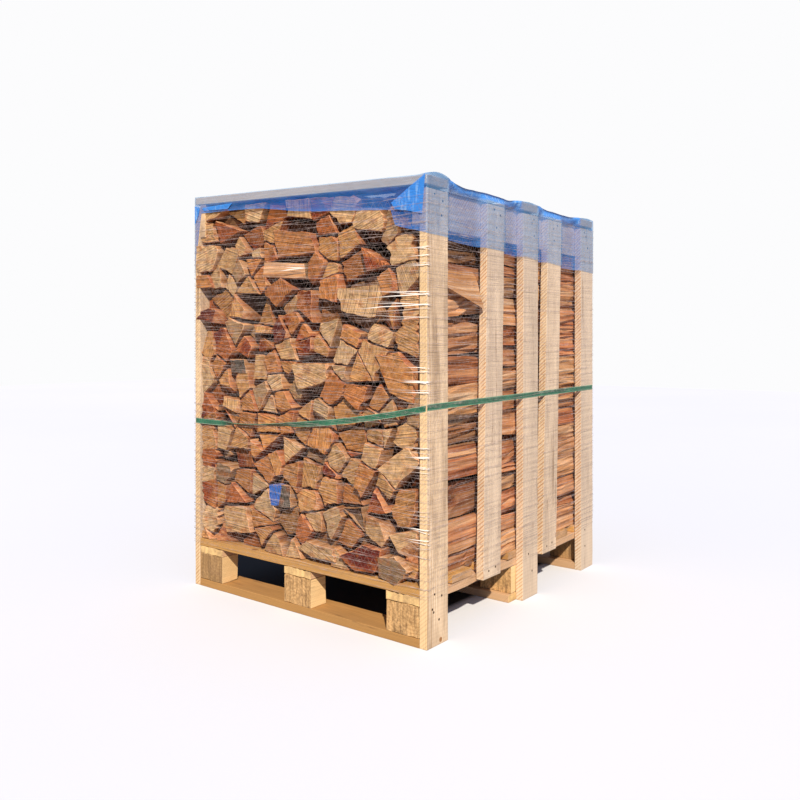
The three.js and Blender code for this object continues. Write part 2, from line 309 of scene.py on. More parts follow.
def sawn_wood(name, early, late, knot_colour, end_colour, edge_colour, edge_share=0.6,
              ring_mm=4.0, saw_mm=6.0, stain="#8d8072", stain_share=0.0, aged="#d9cdbb",
              end_share=0.55, end_speck=0.0, tooth=0.74, end_dirt="#6b4d2e",
              tooth_colour="#c39a64", checks=0.7):
    """Rough sawn board: rings, knots, fibres and saw ridges, all from the grain attribute."""
    material, node, shader = new_material(name, Roughness=0.8, IOR=1.5, Specular_IOR_Level=0.25)
    grain = node("Attribute", attribute_name="grain").outputs["Vector"]
    parts = node("SeparateXYZ", grain)

    # knots: one cell is about 80 mm across the board and 300 mm along it
    flat = node("CombineXYZ", parts.outputs["X"], parts.outputs["Z"])
    cell = node("VectorMath MULTIPLY", flat, (12, 3.2, 0))
    cells = node("TexVoronoi", cell, voronoi_dimensions="2D", Scale=1, Randomness=0.8)
    offset = node("VectorMath SUBTRACT", cell, cells.outputs["Position"])
    offset_m = node("VectorMath MULTIPLY", offset, (1 / 12, 1 / 3.2, 0))
    knot_gap = node("VectorMath LENGTH", offset_m)
    knot_pick = node("SeparateColor", cells.outputs["Color"])
    radius = node("MapRange", knot_pick, 0.72, 1.0, 0, 0.010, clamp=False)
    edge = node("Math SUBTRACT", knot_gap, radius)
    knot = node("MapRange", edge, 0.0, 0.0025, 1.0, 0.0)
    swirl = node("MapRange", edge, 0.0, 0.03, 0.012, 0.0, interpolation_type="SMOOTHSTEP")

    # growth rings round the pith, passing round the knots
    pushed = node("Math ADD", parts.outputs["Y"], swirl)
    along = node("Math MULTIPLY", parts.outputs["Z"], 0.16)
    tree_place = node("CombineXYZ", parts.outputs["X"], pushed, along)
    rings = node("TexWave", tree_place, wave_type="RINGS", rings_direction="Z", Distortion=9,
                 Scale=RING_WAVE / (ring_mm * MM), Detail=2, Detail_Scale=0.25,
                 Detail_Roughness=0.6).outputs["Fac"]
    ring_colour = node("ValToRGB", rings, stops=[(0.0, early), (0.6, early), (1.0, late)])

    # fine fibres along the grain, and slow changes of tone
    fibre_place = node("Mapping", grain, Scale=(1, 1, 0.025))
    fibres = node("TexNoise", fibre_place, Scale=520, Detail=3)
    tone = node("TexNoise", fibre_place, Scale=7, Detail=3)
    tone_light = node("MapRange", tone, 0.3, 0.7, 0.86, 1.08)
    fibre_light = node("MapRange", fibres, 0.3, 0.7, 0.88, 1.06)

    # ridges of the saw, straight across a face and slanting over an edge
    slant = node("Math MULTIPLY", parts.outputs["Y"], -0.9)
    ridge_along = node("Math ADD", parts.outputs["Z"], slant)
    ridge_place = node("CombineXYZ", ridge_along, parts.outputs["X"])
    ridge_squash = node("Mapping", ridge_place, Scale=(1, 0.08, 1))
    ridges = node("TexWave", ridge_squash, bands_direction="X", Scale=RING_WAVE / (saw_mm * MM),
                  Distortion=5, Detail=3, Detail_Scale=1.2).outputs["Fac"]
    # the teeth mark the narrow edges more deeply than the wide faces, and the cut ends not at all
    narrow, ends, age = (node("Attribute", attribute_name=name).outputs["Fac"]
                         for name in ("edge_face", "end_face", "age"))
    teeth = node("Math MAXIMUM", ridges, ends)
    ridge_low = node("MapRange", narrow, 0, 1, 0.97, tooth)
    ridge_light = node("MapRange", teeth, 0, 0.55, ridge_low, 1.03)

    shade = node("Math MULTIPLY", node("Math MULTIPLY", tone_light, fibre_light), ridge_light)
    end_part = node("Math MULTIPLY", ends, end_share)

    # cut ends hold dirt in specks, and long dark streaks where the fibres tore
    speck = node("TexNoise", grain, Scale=150, Detail=4, Roughness=0.75)
    tear_place = node("Mapping", grain, Scale=(1, 0.12, 1))
    tears = node("TexNoise", tear_place, Scale=130, Detail=3, Roughness=0.6)
    dirt = node("Math MULTIPLY", speck, tears)
    dirt_reach = node("MapRange", age, 0, 1, 0.18, 0.6)
    dirt_here = node("MapRange", dirt, dirt_reach, 0.14, 0, end_speck)
    dirt_part = node("Math MULTIPLY", dirt_here, ends)

    # weathering sits in soft patches drawn out along the board
    patch_place = node("Mapping", grain, Scale=(1, 1, 0.16))
    patches = node("TexNoise", patch_place, Scale=24, Detail=6, Roughness=0.7)
    weather = node("MapRange", patches, 0.38, 0.62, 0, stain_share)
    # narrow faces differ from wide ones, and each board has weathered differently
    edge_part = node("Math MULTIPLY", narrow, edge_share)
    aged_all = node("MapRange", age, 0.2, 1.0, 0, 0.8)
    aged_part = node("MapRange", ends, 0, 1, aged_all, 0.1)
    cut_deep = node("MapRange", teeth, 0, 0.45, 0.8, 0.0)
    cut_here = node("MapRange", patches, 0.36, 0.56, 0.15)
    cut_share = node("MapRange", age, 0.1, 0.6, 0.1)
    cut_part = cut_deep
    for share in (narrow, cut_here, cut_share):
        cut_part = node("Math MULTIPLY", cut_part, share)

    # a few hairline drying cracks follow the grain
    check_place = node("Mapping", grain, Scale=(1, 1, 0.02))
    check = node("TexNoise", check_place, Scale=70, Detail=1)
    check_gap = node("Math ABSOLUTE", node("Math SUBTRACT", check, 0.5))
    check_line = node("MapRange", check_gap, 0.004, 0.02, checks, 0.0)
    check_here = node("MapRange", patches, 0.54, 0.62)
    check_part = node("Math MULTIPLY", check_line, check_here)

    # every layer covers what lies under it by its share
    wood = ring_colour
    for share, colour in ((knot, knot_colour), (end_part, end_colour), (dirt_part, end_dirt),
                          (weather, stain), (edge_part, edge_colour), (aged_part, aged),
                          (cut_part, tooth_colour), (check_part, "#7a5a3c")):
        wood = node("Mix RGBA", share, wood, colour)
    lit = node("VectorMath SCALE", wood, shade)
    rough = node("MapRange", fibres, 0, 1, 0.68, 0.9)
    ridge_depth = node("MapRange", narrow, 0, 1, 0.3, 1.0)
    ridge_relief = node("Math MULTIPLY", teeth, ridge_depth)
    relief = node("Math MULTIPLY_ADD", fibres, 0.6, ridge_relief)
    bump = node("Bump", Strength=0.5, Distance=0.6 * MM, Height=relief)
    fill(shader, Base_Color=lit, Roughness=rough, Normal=bump)
    return material


pallet_pine = sawn_wood("sawn pine, pallet", "#dcae6c", "#c18c4a", "#8a5a30", "#c9a585", "#dfab60", 0.5,
                        stain="#8f6f4a", stain_share=0.65, aged="#ab8252", end_share=0.85, tooth=0.85)
stringer_pine = sawn_wood("sawn pine, stringers", "#dcb070", "#c4904e", "#8a5a30", "#fad898",
                          "#d3ae86", 0.7,
                          stain="#8f7252", stain_share=0.65, aged="#d2b29a", end_share=0.9,
                          end_speck=0.18, tooth=0.85)
block_pine = sawn_wood("sawn pine, blocks", "#f6d294", "#d0a268", "#8a5a30", "#cfa276", "#fde2b2", 0.75,
                       ring_mm=9.0, stain="#93713f", stain_share=0.32, aged="#e5c596", end_share=0.55,
                       end_speck=0.95, end_dirt="#6a4e36", tooth=0.93, tooth_colour="#dcb680", checks=0.3)
upright_spruce = sawn_wood("sawn spruce, uprights", "#f5e0c6", "#e2c29d", "#a97a50", "#d3ae80", "#fad9a2",
                           ring_mm=5.0, saw_mm=10.5, stain="#a0876f", stain_share=0.68, aged="#d6c7b8",
                           tooth=0.9, tooth_colour="#c4864a")
weathered_spruce = sawn_wood("sawn spruce, weathered", "#e0bb90", "#c49a6e", "#8c6a48", "#b5966c",
                             "#dcbb92", stain="#8f7f72", stain_share=0.65, tooth=0.9)
print("five sawn woods ready")

# %% [markdown]
# ## The boards
#
# Every board of the pallet and of the frame is a real piece with its own grain. The frame's names
# say which way each one runs: skids, deck boards and top boards run across, stringers and rails
# run from front to back, uprights stand. A block is a short length of the same wood, lying so
# that its end grain faces the front.

# %% saw all boards
ROWS = ("front", "middle", "back")
COLUMNS = ("left", "middle", "right")
SIDES = ("left", "right")

cutting_list = []
for row in ROWS:
    skid_pine = pallet_pine if row == "front" else stringer_pine
    cutting_list.append((f"skid_{row}", "x", skid_pine, "pallet_pine"))
    cutting_list.append((f"top_board_{row}", "x", weathered_spruce, "weathered_board"))
    cutting_list += [(f"block_{row}_{column}", "y", block_pine, "pallet_pine") for column in COLUMNS]
cutting_list += [(f"stringer_{column}", "y", stringer_pine, "pallet_pine") for column in COLUMNS]
cutting_list += [(f"deck_board_{i}", "x", pallet_pine, "pallet_pine") for i in range(1, 8)]
for side in SIDES:
    cutting_list.append((f"top_rail_{side}", "y", upright_spruce, "upright_board"))
    cutting_list += [(f"upright_{side}_{i}", "z", upright_spruce, "upright_board") for i in range(1, 6)]

boards = [saw_board(*entry, seed=20 + i) for i, entry in enumerate(cutting_list)]
print(len(boards), "boards,", sum(len(b.data.polygons) for b in boards), "faces")

# %% [markdown]
# ## Split hardwood
#
# A log starts as a round, sawn to 330 mm, and is split with a wedge. Its ends are sawn and show
# the rings cut across, with pale sapwood outside and red-brown heartwood inside, the scratches of
# a chain saw and dark drying cracks. Its sides are torn along the fibres, and are darker and more
# orange. The "end_face" attribute says which is which. "tone" gives each log its own colour, and
# "saw" counts metres across the scratches of that log's ends.

# %% split wood material
def split_wood():
    material, node, shader = new_material("split hardwood, air dried", Roughness=0.85, IOR=1.5,
                                          Specular_IOR_Level=0.2)
    grain = node("Attribute", attribute_name="grain").outputs["Vector"]
    tone, saw, ends, paint, deep = (node("Attribute", attribute_name=name).outputs["Fac"]
                                    for name in ("tone", "saw", "end_face", "paint", "deep"))

    # rings 3.5 mm apart round the pith, wavering along the log
    slow = node("Mapping", grain, Scale=(1, 1, 0.12))
    rings = node("TexWave", slow, wave_type="RINGS", rings_direction="Z", Distortion=5,
                 Scale=RING_WAVE / 0.0035, Detail=3, Detail_Scale=0.4).outputs["Fac"]
    patches = node("TexNoise", slow, Scale=22, Detail=4, Roughness=0.6)

    # the heart of the tree is red-brown; how far it reaches differs from log to log
    middle = node("Mapping", grain, Scale=(1, 1, 0))
    reach = node("VectorMath LENGTH", middle)
    wander = node("Math MULTIPLY_ADD", patches, 0.08, reach)
    heart_edge = node("MapRange", tone, 0.42, 1, -0.02, 0.11)
    past_edge = node("Math SUBTRACT", wander, heart_edge)
    heart = node("MapRange", past_edge, -0.01, 0.012, 1.0, 0.0, interpolation_type="SMOOTHSTEP")

    # sawn ends
    sap_end = node("ValToRGB", tone,
                   stops=[(0.0, "#6f6860"), (0.04, "#a98866"), (0.12, "#dab88e"), (0.4, "#d6a873"),
                          (0.65, "#d09960"), (0.85, "#c27f4a"), (1.0, "#a65c34")])
    heart_end = node("ValToRGB", tone,
                     stops=[(0.0, "#675e56"), (0.05, "#b97a44"), (0.6, "#b66f38"), (0.88, "#9c4c27"),
                           (0.97, "#6a2a22")])
    end_wood = node("Mix RGBA", heart, sap_end, heart_end)
    scratch_place = node("Math MULTIPLY", saw, 260)
    scratches = node("TexNoise", scratch_place, noise_dimensions="1D", Scale=1, Detail=3, Roughness=0.7)
    scratch_light = node("MapRange", scratches, 0.3, 0.7, 0.34, 1.26)
    ring_light = node("MapRange", rings, 0, 1, 1.05, 0.86)

    # drying cracks run out from the pith
    turn = node("TexGradient", grain, gradient_type="RADIAL").outputs["Fac"]
    crack_at = node("Math MULTIPLY_ADD", turn, 26, patches)
    crack_fold = node("Math PINGPONG", crack_at, 1.0)
    crack_thin = node("Math MULTIPLY", crack_fold, reach)
    crack_place = node("TexNoise", grain, Scale=34, Detail=1)
    crack_here = node("MapRange", crack_place, 0.52, 0.6)
    crack_line = node("MapRange", crack_thin, 0.0008, 0.0022, 0.75, 0.0)
    crack = node("Math MULTIPLY", crack_line, crack_here)
    end_wood = node("Mix RGBA", crack, end_wood, "#2f1a10")
    end_light = node("Math MULTIPLY", scratch_light, ring_light)
    # the rough end holds dust and damp in soft patches
    blotches = node("TexNoise", grain, Scale=55, Detail=5, Roughness=0.7)
    blotch_light = node("MapRange", blotches, 0.32, 0.62, 0.55, 1.12)
    end_light = node("Math MULTIPLY", end_light, blotch_light)
    rust_patch = node("TexNoise", grain, Scale=38, Detail=3)
    rust_part = node("MapRange", rust_patch, 0.5, 0.68, 0, 0.6)
    end_wood = node("Mix RGBA", rust_part, end_wood, "#b0642f")
    end_wood = node("VectorMath SCALE", end_wood, end_light)

    # torn sides: long streaks of fibre
    fibre_place = node("Mapping", grain, Scale=(1, 1, 0.035))
    fibres = node("TexNoise", fibre_place, Scale=330, Detail=5, Roughness=0.65)
    streaks = node("TexNoise", fibre_place, Scale=60, Detail=4, Roughness=0.6)
    side_sap = node("ValToRGB", streaks,
                    stops=[(0.3, "#87583b"), (0.42, "#b58459"), (0.56, "#c9a07c"), (0.7, "#d6b899")])
    side_heart = node("ValToRGB", streaks,
                      stops=[(0.3, "#5e321e"), (0.44, "#a26343"), (0.58, "#c08860"), (0.72, "#caa27e")])
    side_share = node("MapRange", tone, 0.15, 0.7)
    side_wood = node("Mix RGBA", side_share, side_sap, side_heart)
    fibre_light = node("MapRange", fibres, 0.3, 0.7, 0.8, 1.26)
    side_wood = node("VectorMath SCALE", side_wood, fibre_light)

    wood = node("Mix RGBA", ends, side_wood, end_wood)

    # logs differ in brightness too
    spread = node("Math MULTIPLY", tone, 37)
    own_share = node("Math FRACT", spread)
    own_light = node("MapRange", own_share, 0, 1, 0.85, 1.15)
    wood = node("VectorMath SCALE", wood, own_light)

    # painted shade: the faces inside the stack are painted dark brown, the more so the deeper they lie
    painted_stack_shade = node("MapRange", deep, 0, 1, 1.0, 0.14)
    wood = node("Mix RGBA", painted_stack_shade, "#351507", wood)

    # one end carries a forester's dab of blue paint, broken by the rough grain
    paint_break = node("MapRange", scratches, 0.34, 0.5, 0, 0.9)
    painted = node("Math MULTIPLY", paint_break, paint)
    wood = node("Mix RGBA", painted, wood, "#2a68c4")

    rough = node("MapRange", fibres, 0, 1, 0.7, 0.95)
    end_relief = node("Math MULTIPLY_ADD", crack, -1.5, scratches)
    side_relief = node("Math MULTIPLY_ADD", streaks, 1.6, fibres)
    relief = node("Mix FLOAT", ends, side_relief, end_relief)
    bump = node("Bump", Strength=0.8, Distance=1.5 * MM, Height=relief)
    fill(shader, Base_Color=wood, Roughness=rough, Normal=bump)
    return material


hardwood = split_wood()
print("split hardwood ready")

# %% [markdown]
# ## Where the logs lie
#
# Nobody stacks logs on a grid: each one settles into the space between its neighbours. A plan
# with the same look starts from one point for each log, in loose courses of uneven widths. Each
# log may fill the cell of all places that are nearer to its own point than to any other. A
# convex outline inside that cell can never run into a neighbour.

# %% plan of a row
MEAN_WIDTH = 0.069
MEAN_COURSE = 0.056
SIZE_SPREAD = 0.0007          # square metres; shifts the line between a large log and a small one
DECK_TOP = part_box("log_row_front")[0].z
STACK_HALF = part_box("log_row_front")[1].x
FRONT_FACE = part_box("upright_left_1")[0].y
RAIL_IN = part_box("top_rail_right")[0].x - 0.3 * MM


def corner_height(node, side):
    """How high a node with a sloped top reaches at its left (-1) or right (+1) end."""
    return max(v.co.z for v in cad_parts[node].data.vertices if v.co.x * side > 0)


HEIGHT_LEFT, HEIGHT_RIGHT = (corner_height("log_row_front", side) for side in (-1, 1))
RAIL_UNDER = {-1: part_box("top_rail_left")[0].z, 1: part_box("top_rail_right")[0].z}


def ceiling(x):
    return HEIGHT_RIGHT + (HEIGHT_LEFT - HEIGHT_RIGHT) * (RAIL_IN - x) / (2 * RAIL_IN)


CROSS_LOG = Vector((-0.046, 0, 0.940))           # a log that lies across the front, end to end
CROSS_HALF, CROSS_HIGH = 0.097, 0.050
CROSS_TILT = 4                                   # degrees, right end down

# logs of the front row that stand out keep places of their own:
# x and z of their corners, then how they differ
OWN_LOGS = (
    (((-0.114, 0.340), (-0.030, 0.346), (-0.026, 0.282), (-0.106, 0.278)), {"tone": 0.0, "paint": 1.0}),
    (((-0.272, 0.692), (-0.206, 0.694), (-0.204, 0.650), (-0.268, 0.648)), {"tone": 0.0}),
    (((-0.105, 1.060), (0.045, 1.040), (0.065, 0.980), (-0.080, 0.975)), {"tone": 0.79}),
    (((0.180, 1.088), (0.275, 1.080), (0.300, 1.045), (0.285, 1.015), (0.185, 1.035)), {"tone": 0.24}),
    (((-0.342, 1.108), (-0.215, 1.066), (-0.318, 1.034)), {"tone": 1.0}),
    (((-0.400, 1.138), (-0.300, 1.145), (-0.285, 1.137), (-0.340, 1.114), (-0.387, 1.108)), {"tone": 0.28}),
    (((-0.397, 1.105), (-0.346, 1.101), (-0.344, 1.060), (-0.330, 1.042), (-0.401, 1.043)), {"tone": 0.36}),
    (((-0.417, 1.037), (-0.323, 1.033), (-0.318, 1.008), (-0.341, 0.952), (-0.420, 0.953)),
     {"tone": 0.18, "over_post": True}),
    (((-0.419, 0.946), (-0.366, 0.947), (-0.331, 0.903), (-0.420, 0.906)),
     {"tone": 0.74, "over_post": True}),
    (((-0.398, 0.835), (-0.363, 0.846), (-0.326, 0.841), (-0.295, 0.791), (-0.420, 0.812)),
     {"tone": 1.0, "over_post": True}),
    (((-0.289, 1.024), (-0.226, 1.018), (-0.263, 0.939), (-0.333, 0.966)), {"tone": 0.33}),
    (((-0.030, 0.682), (0.110, 0.688), (0.105, 0.636), (-0.005, 0.606)), {"tone": 0.26}),
    (((0.262, 0.708), (0.334, 0.720), (0.380, 0.670), (0.382, 0.585), (0.305, 0.610)), {"tone": 0.72}),
    (((0.135, 0.884), (0.292, 0.886), (0.266, 0.798), (0.148, 0.820)), {"tone": 0.21}),
    (((0.357, 0.488), (0.400, 0.447), (0.326, 0.376), (0.262, 0.418)), {"tone": 0.24}),
    (((-0.312, 0.254), (-0.200, 0.264), (-0.180, 0.190), (-0.295, 0.174)), {"tone": 0.29}),
    (((0.136, 0.178), (0.228, 0.223), (0.292, 0.222), (0.272, 0.156), (0.204, 0.150)),
     {"tone": 0.97, "over_post": True}),
    (((0.272, 0.203), (0.327, 0.212), (0.375, 0.179), (0.326, 0.134), (0.275, 0.152)),
     {"tone": 0.03, "over_post": True}),
    (((0.300, 0.264), (0.390, 0.284), (0.395, 0.193), (0.377, 0.187), (0.333, 0.217)), {"tone": 0.26}),
    (((-0.018, 0.176), (0.026, 0.203), (0.130, 0.194), (0.132, 0.160), (0.046, 0.159)), {"tone": 0.22}),
)
# a wedge that leans out between two uprights
WEDGE_OUTLINE = ((0.402, 0.910), (0.374, 0.946), (0.322, 0.925), (0.338, 0.845))
OWN_SPACE = 0.050


def centre_of(outline):
    return sum((Vector((x, 0, z)) for x, z in outline), Vector()) / len(outline)


def plan_row(rng, cross=None):
    """A place and a size for each log, in loose courses from the deck up to the top boards."""
    spots = []
    courses = round((ceiling(0) - DECK_TOP) / MEAN_COURSE)
    pitch = (ceiling(0) - DECK_TOP) / courses
    for course in range(courses):
        z = DECK_TOP + (course + 0.5) * pitch
        x = -STACK_HALF + rng.uniform(0.15, 0.6) * MEAN_WIDTH
        while x < STACK_HALF - 0.2 * MEAN_WIDTH:
            lift = (z - DECK_TOP) / (ceiling(0) - DECK_TOP) * (ceiling(x) - ceiling(0))
            place = Vector((x, 0, z + lift + rng.uniform(-0.42, 0.42) * MEAN_COURSE))
            spots.append((place, rng.uniform(-1, 1) * SIZE_SPREAD))
            x += MEAN_WIDTH * rng.choice((0.6, 0.8, 0.95, 1.1, 1.3, 1.5))
        # a last log fills what is left at the right
        last = spots[-1][0]
        if STACK_HALF - last.x > 0.8 * MEAN_WIDTH:
            spots.append((Vector((STACK_HALF - 0.35 * MEAN_WIDTH, 0, last.z + 0.2 * MEAN_COURSE)), 0.0))
    if cross:
        for outline, _ in OWN_LOGS + ((WEDGE_OUTLINE, None),):
            place = centre_of(outline)
            radius = sum((Vector((x, 0, z)) - place).length for x, z in outline) / len(outline)
            spots = [s for s in spots if (s[0] - place).length > max(OWN_SPACE, radius)]
            spots.append((place, radius ** 2 - OWN_SPACE ** 2))
        spots = [s for s in spots
                 if abs(s[0].x - cross.x) > CROSS_HALF + 0.02 or abs(s[0].z - cross.z) > 0.046]
        spots += [(cross + Vector((0.05 * i, 0, 0)), 0.0) for i in range(-2, 3)]
    return spots


print("about", len(plan_row(random.Random(1))), "logs in a row")

# %% [markdown]
# ## Cutting one log
#
# A log's outline begins as a square round its point. Each neighbour cuts off what is nearer to
# itself, and the deck, the walls and the ceiling cut off what is outside the crate. Then corners
# are taken away, the least first, until a wedge or a rough block with three to five corners is
# left. That is what a splitting wedge leaves too, and the missing corners are the dark gaps.

# %% outline of a log
REACH = 0.085                 # no log reaches further than this from its own point
SMALLEST_LOG = 0.0005         # square metres; a smaller gap stays empty


def cell_of(spot, spots, rng, wall_in, gap_half):
    """The flat face that one log may fill, or None where the space is too small for a log."""
    point, size = spot
    bm = bmesh.new()
    stand = Matrix.Translation(point) @ Matrix.Rotation(math.radians(90), 4, "X")
    bmesh.ops.create_grid(bm, x_segments=1, y_segments=1, size=REACH, matrix=stand)
    for other, other_size in spots:
        gap = other - point
        if 0 < gap.length < 2 * REACH:
            share = 0.5 + (size - other_size) / (2 * gap.length_squared)
            cut_at(bm, point + gap * share - gap.normalized() * gap_half, gap, clear=True)

    # the outer logs lean on the walls with a corner, so their outer sides aren't in one plane
    side = 1 if point.x > 0 else -1
    wall = RAIL_IN if point.z > RAIL_UNDER[side] - 0.4 * MEAN_COURSE else STACK_HALF
    wall -= wall_in
    tilt = rng.uniform(-0.5, 0.5)
    cut_at(bm, Vector((side * wall, 0, point.z)), Vector((side, 0, tilt)), clear=True)
    cut_at(bm, Vector((side * wall, 0, point.z)), Vector((side, 0, 0)), clear=True)
    cut_at(bm, Vector((0, 0, DECK_TOP)), Vector((0, 0, -1)), clear=True)
    top = Vector((0, 0, ceiling(0)))
    cut_at(bm, top, Vector((HEIGHT_LEFT - HEIGHT_RIGHT, 0, 2 * RAIL_IN)), clear=True)
    bm.faces.ensure_lookup_table()
    if not bm.faces or bm.faces[0].calc_area() < SMALLEST_LOG:
        bm.free()
        return None
    return bm


def lost_area(bm, vert):
    loop = vert.link_loops[0]
    back = loop.link_loop_prev.vert.co - vert.co
    ahead = loop.link_loop_next.vert.co - vert.co
    return back.cross(ahead).length / 2


def drop_corners(bm, keep):
    """Takes away the corner that loses the least wood, until `keep` corners are left."""
    while len(bm.verts) > keep:
        corner = min(bm.verts, key=lambda v: lost_area(bm, v))
        bmesh.ops.dissolve_verts(bm, verts=[corner])
    bm.faces.ensure_lookup_table()


# %% [markdown]
# ## Making it a log
#
# The outline gets extra points along its edges, because wood doesn't split dead straight. It is
# extruded to the log's length, cut into short stretches, and each stretch is drawn in a little
# by noise that changes quickly across the grain and slowly along it. The two sawn ends are
# tilted, since no saw cut is quite square, and their rims are worn round.

# %% body of a log
LOG_LENGTH = 0.330
BACK_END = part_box("log_row_back")[1].y


def by_place(co):
    """Sorts corners by where they are, because an operator may leave them in any order."""
    return round(co.x, 5), round(co.y, 5), round(co.z, 5)


def chip(bm, front, middle, rng):
    """Breaks a slanting piece off one corner of the end at y = front."""
    near_end = sorted((v for v in bm.verts if v.co.y < front + 40 * MM), key=lambda v: by_place(v.co))
    if not near_end:
        return
    corner = max(near_end, key=lambda v: (v.co - middle).length * rng.uniform(0.6, 1))
    out = corner.co - middle
    slant = Vector((out.x, 0, out.z)).normalized() * rng.uniform(0.4, 1.3) + Vector((0, -1, 0))
    slant.normalize()
    place = corner.co - slant * rng.uniform(4, 10) * MM
    cut = bmesh.ops.bisect_plane(bm, geom=everything(bm), plane_co=place, plane_no=slant, clear_outer=True)
    rim = [g for g in cut["geom_cut"] if isinstance(g, bmesh.types.BMEdge)]
    bmesh.ops.edgeloop_fill(bm, edges=rim)


def how_deep(place):
    """0 on the outside of the stack, rising to 1 some 45 mm inside it; the wood is painted in shade by it.
    """
    inside = min(place.y + BACK_END, BACK_END - place.y, STACK_HALF - abs(place.x),
                 ceiling(place.x) - place.z + 12 * MM)
    return max(0.0, min(1.0, (inside - 9 * MM) / (34 * MM)))


def make_log(bm, front, stretches, rng, tone=None, paint=0.0, length=LOG_LENGTH, lean=0.0, rough=1.0,
             tight=1.0, twist=0.0, place=None, stand_out=False, splay=0.0, flat=False):
    """Turns a flat outline into a solid log from y = front, with its attributes."""
    bm.faces.ensure_lookup_table()
    middle = bm.faces[0].calc_center_median()
    corners = sorted((v.co.copy() for v in bm.faces[0].verts), key=by_place)
    heart = min(corners, key=lambda c: c.z) if rng.random() < 0.5 else rng.choice(corners)
    pith = middle + (heart - middle) * rng.uniform(0.8, 2.2)
    bmesh.ops.subdivide_edges(bm, edges=bm.edges[:], cuts=4 if stretches > 3 else 2)
    seed = Vector([rng.uniform(0, 50) for _ in range(3)])

    raised = bmesh.ops.extrude_face_region(bm, geom=bm.faces[:])
    far = [g for g in raised["geom"] if isinstance(g, bmesh.types.BMVert)]
    bmesh.ops.translate(bm, verts=far, vec=(0, length, 0))
    for i in range(1, stretches):
        cut_at(bm, Vector((0, length * i / stretches, 0)), Vector((0, 1, rng.uniform(-0.3, 0.3))))

    # the far end is a little smaller or turned, the sides are torn, the ends are tilted
    shrink = rng.uniform(0.0, 0.13)
    tilts = [(rng.gauss(0, 0.06), rng.gauss(0, 0.06)) for _ in range(2)]
    setback = [abs(rng.gauss(0, 4.5)) * MM for _ in range(2)]
    if rng.random() < 0.27:
        setback[0] += rng.uniform(6, 24) * MM
    if stand_out:
        setback[0] = 0.0
    for vert in bm.verts:
        out = Vector((vert.co.x - middle.x, 0, vert.co.z - middle.z))
        share = vert.co.y / length
        drift = twist * vert.co.y
        torn = noise.noise(Vector((vert.co.x * 95, vert.co.y * 9, (vert.co.z + drift) * 95)) + seed) + 0.35
        fine = Vector((vert.co.x * 260, vert.co.y * 14, (vert.co.z + drift) * 260)) + seed
        torn += 0.6 * noise.noise(fine)
        pull = 0.01 + shrink * (share if front < 0 else 1 - share) + 0.15 * max(0.0, torn)
        end = 0 if share < 0.5 else 1
        if share < 0.01 or share > 0.99:
            slope = 0.0 if flat else out.x * tilts[end][0] + out.z * tilts[end][1]
            back = max(0.0, setback[end] + slope + 0.5 * MM)
            vert.co.y += back if end == 0 else -back
        vert.co.x += lean * share - out.x * pull * rough
        sink = out.z * pull * tight + (drift - twist * length / 2) * 0.3
        vert.co.z -= sink + splay * share * max(0.0, out.x)
        vert.co.y += front
    bmesh.ops.recalc_face_normals(bm, faces=bm.faces[:])

    bm.normal_update()
    caps = [f for f in bm.faces if len(f.verts) > 6]
    rims = list(dict.fromkeys(edge for cap in caps for edge in cap.edges))
    bmesh.ops.bevel(bm, geom=rims, offset=1.4 * MM, affect="EDGES", segments=1, profile=0.5, material=-1,
                    clamp_overlap=True)
    for _ in range(rng.choice((0, 0, 0, 1, 1))):
        chip(bm, front, middle + Vector((0, front, 0)), rng)
    bm.normal_update()
    near_caps = [f for f in bm.faces if f.normal.y < -0.93 and len(f.verts) > 6]
    bmesh.ops.poke(bm, faces=near_caps, offset=rng.uniform(-3.0, 1.0) * MM, center_mode="MEAN")

    grain = bm.verts.layers.float_vector.new("grain")
    deep, tone_layer, saw = (bm.verts.layers.float.new(name) for name in ("deep", "tone", "saw"))
    end_face, paint_layer = (bm.faces.layers.float.new(name) for name in ("end_face", "paint"))
    tone = rng.random() if tone is None else tone
    across = rng.uniform(-0.45, 0.45) + rng.choice((0, 0, 0, 0, 0, math.radians(90)))
    shift = rng.uniform(0, 30)
    for vert in bm.verts:
        vert[grain] = Vector((vert.co.x - pith.x, vert.co.z - pith.z, vert.co.y + shift))
        vert[tone_layer] = tone
        vert[deep] = how_deep(place @ vert.co if place else vert.co)
        vert[saw] = shift + vert.co.x * math.sin(across) + vert.co.z * math.cos(across)
    bm.normal_update()
    for one in bm.faces:
        one[end_face] = 1 if abs(one.normal.y) > 0.92 else 0
        one[paint_layer] = paint if one.calc_center_median().x < middle.x else 0
    return bm


def add_bmesh(target, bm):
    """Joins a finished bmesh to another, with its attributes, and frees it."""
    mesh = bpy.data.meshes.new("part")
    bm.to_mesh(mesh)
    bm.free()
    target.from_mesh(mesh)
    bpy.data.meshes.remove(mesh)


# %% [markdown]
# ## Three rows
#
# The rows stand one behind the other, and each has a plan of its own. Hundreds of logs are made
# as one joined mesh for each row, with a few dozen faces to a log. The middle row only shows
# through gaps and along the sides, so its logs are cut into fewer stretches.

# %% stack the rows
DARK_PLACE = Vector((-0.089, 0, 0.737))
OVER_POST = 2.4 * MM          # how far a log that covers an upright's front edge stands before it
SET_IN = 30 * MM
BEHIND_CROSS = CROSS_HIGH + 14 * MM


def special_logs(spots):
    """The few logs of the front row that differ, by their place."""
    def nearest(place):
        return min(spots, key=lambda spot: (spot[0] - place).length)[0].freeze()
    special = {nearest(DARK_PLACE): {"tone": 1.0}}
    for outline, differs in OWN_LOGS:
        special[nearest(centre_of(outline))] = {"outline": outline, "stand_out": True, **differs}
    wedge = {"outline": WEDGE_OUTLINE, "tone": 0.19, "length": 0.280, "lean": 22 * MM, "splay": 1.9,
             "rough": 0.5, "tight": 0.5}
    special[nearest(centre_of(WEDGE_OUTLINE))] = wedge
    return special


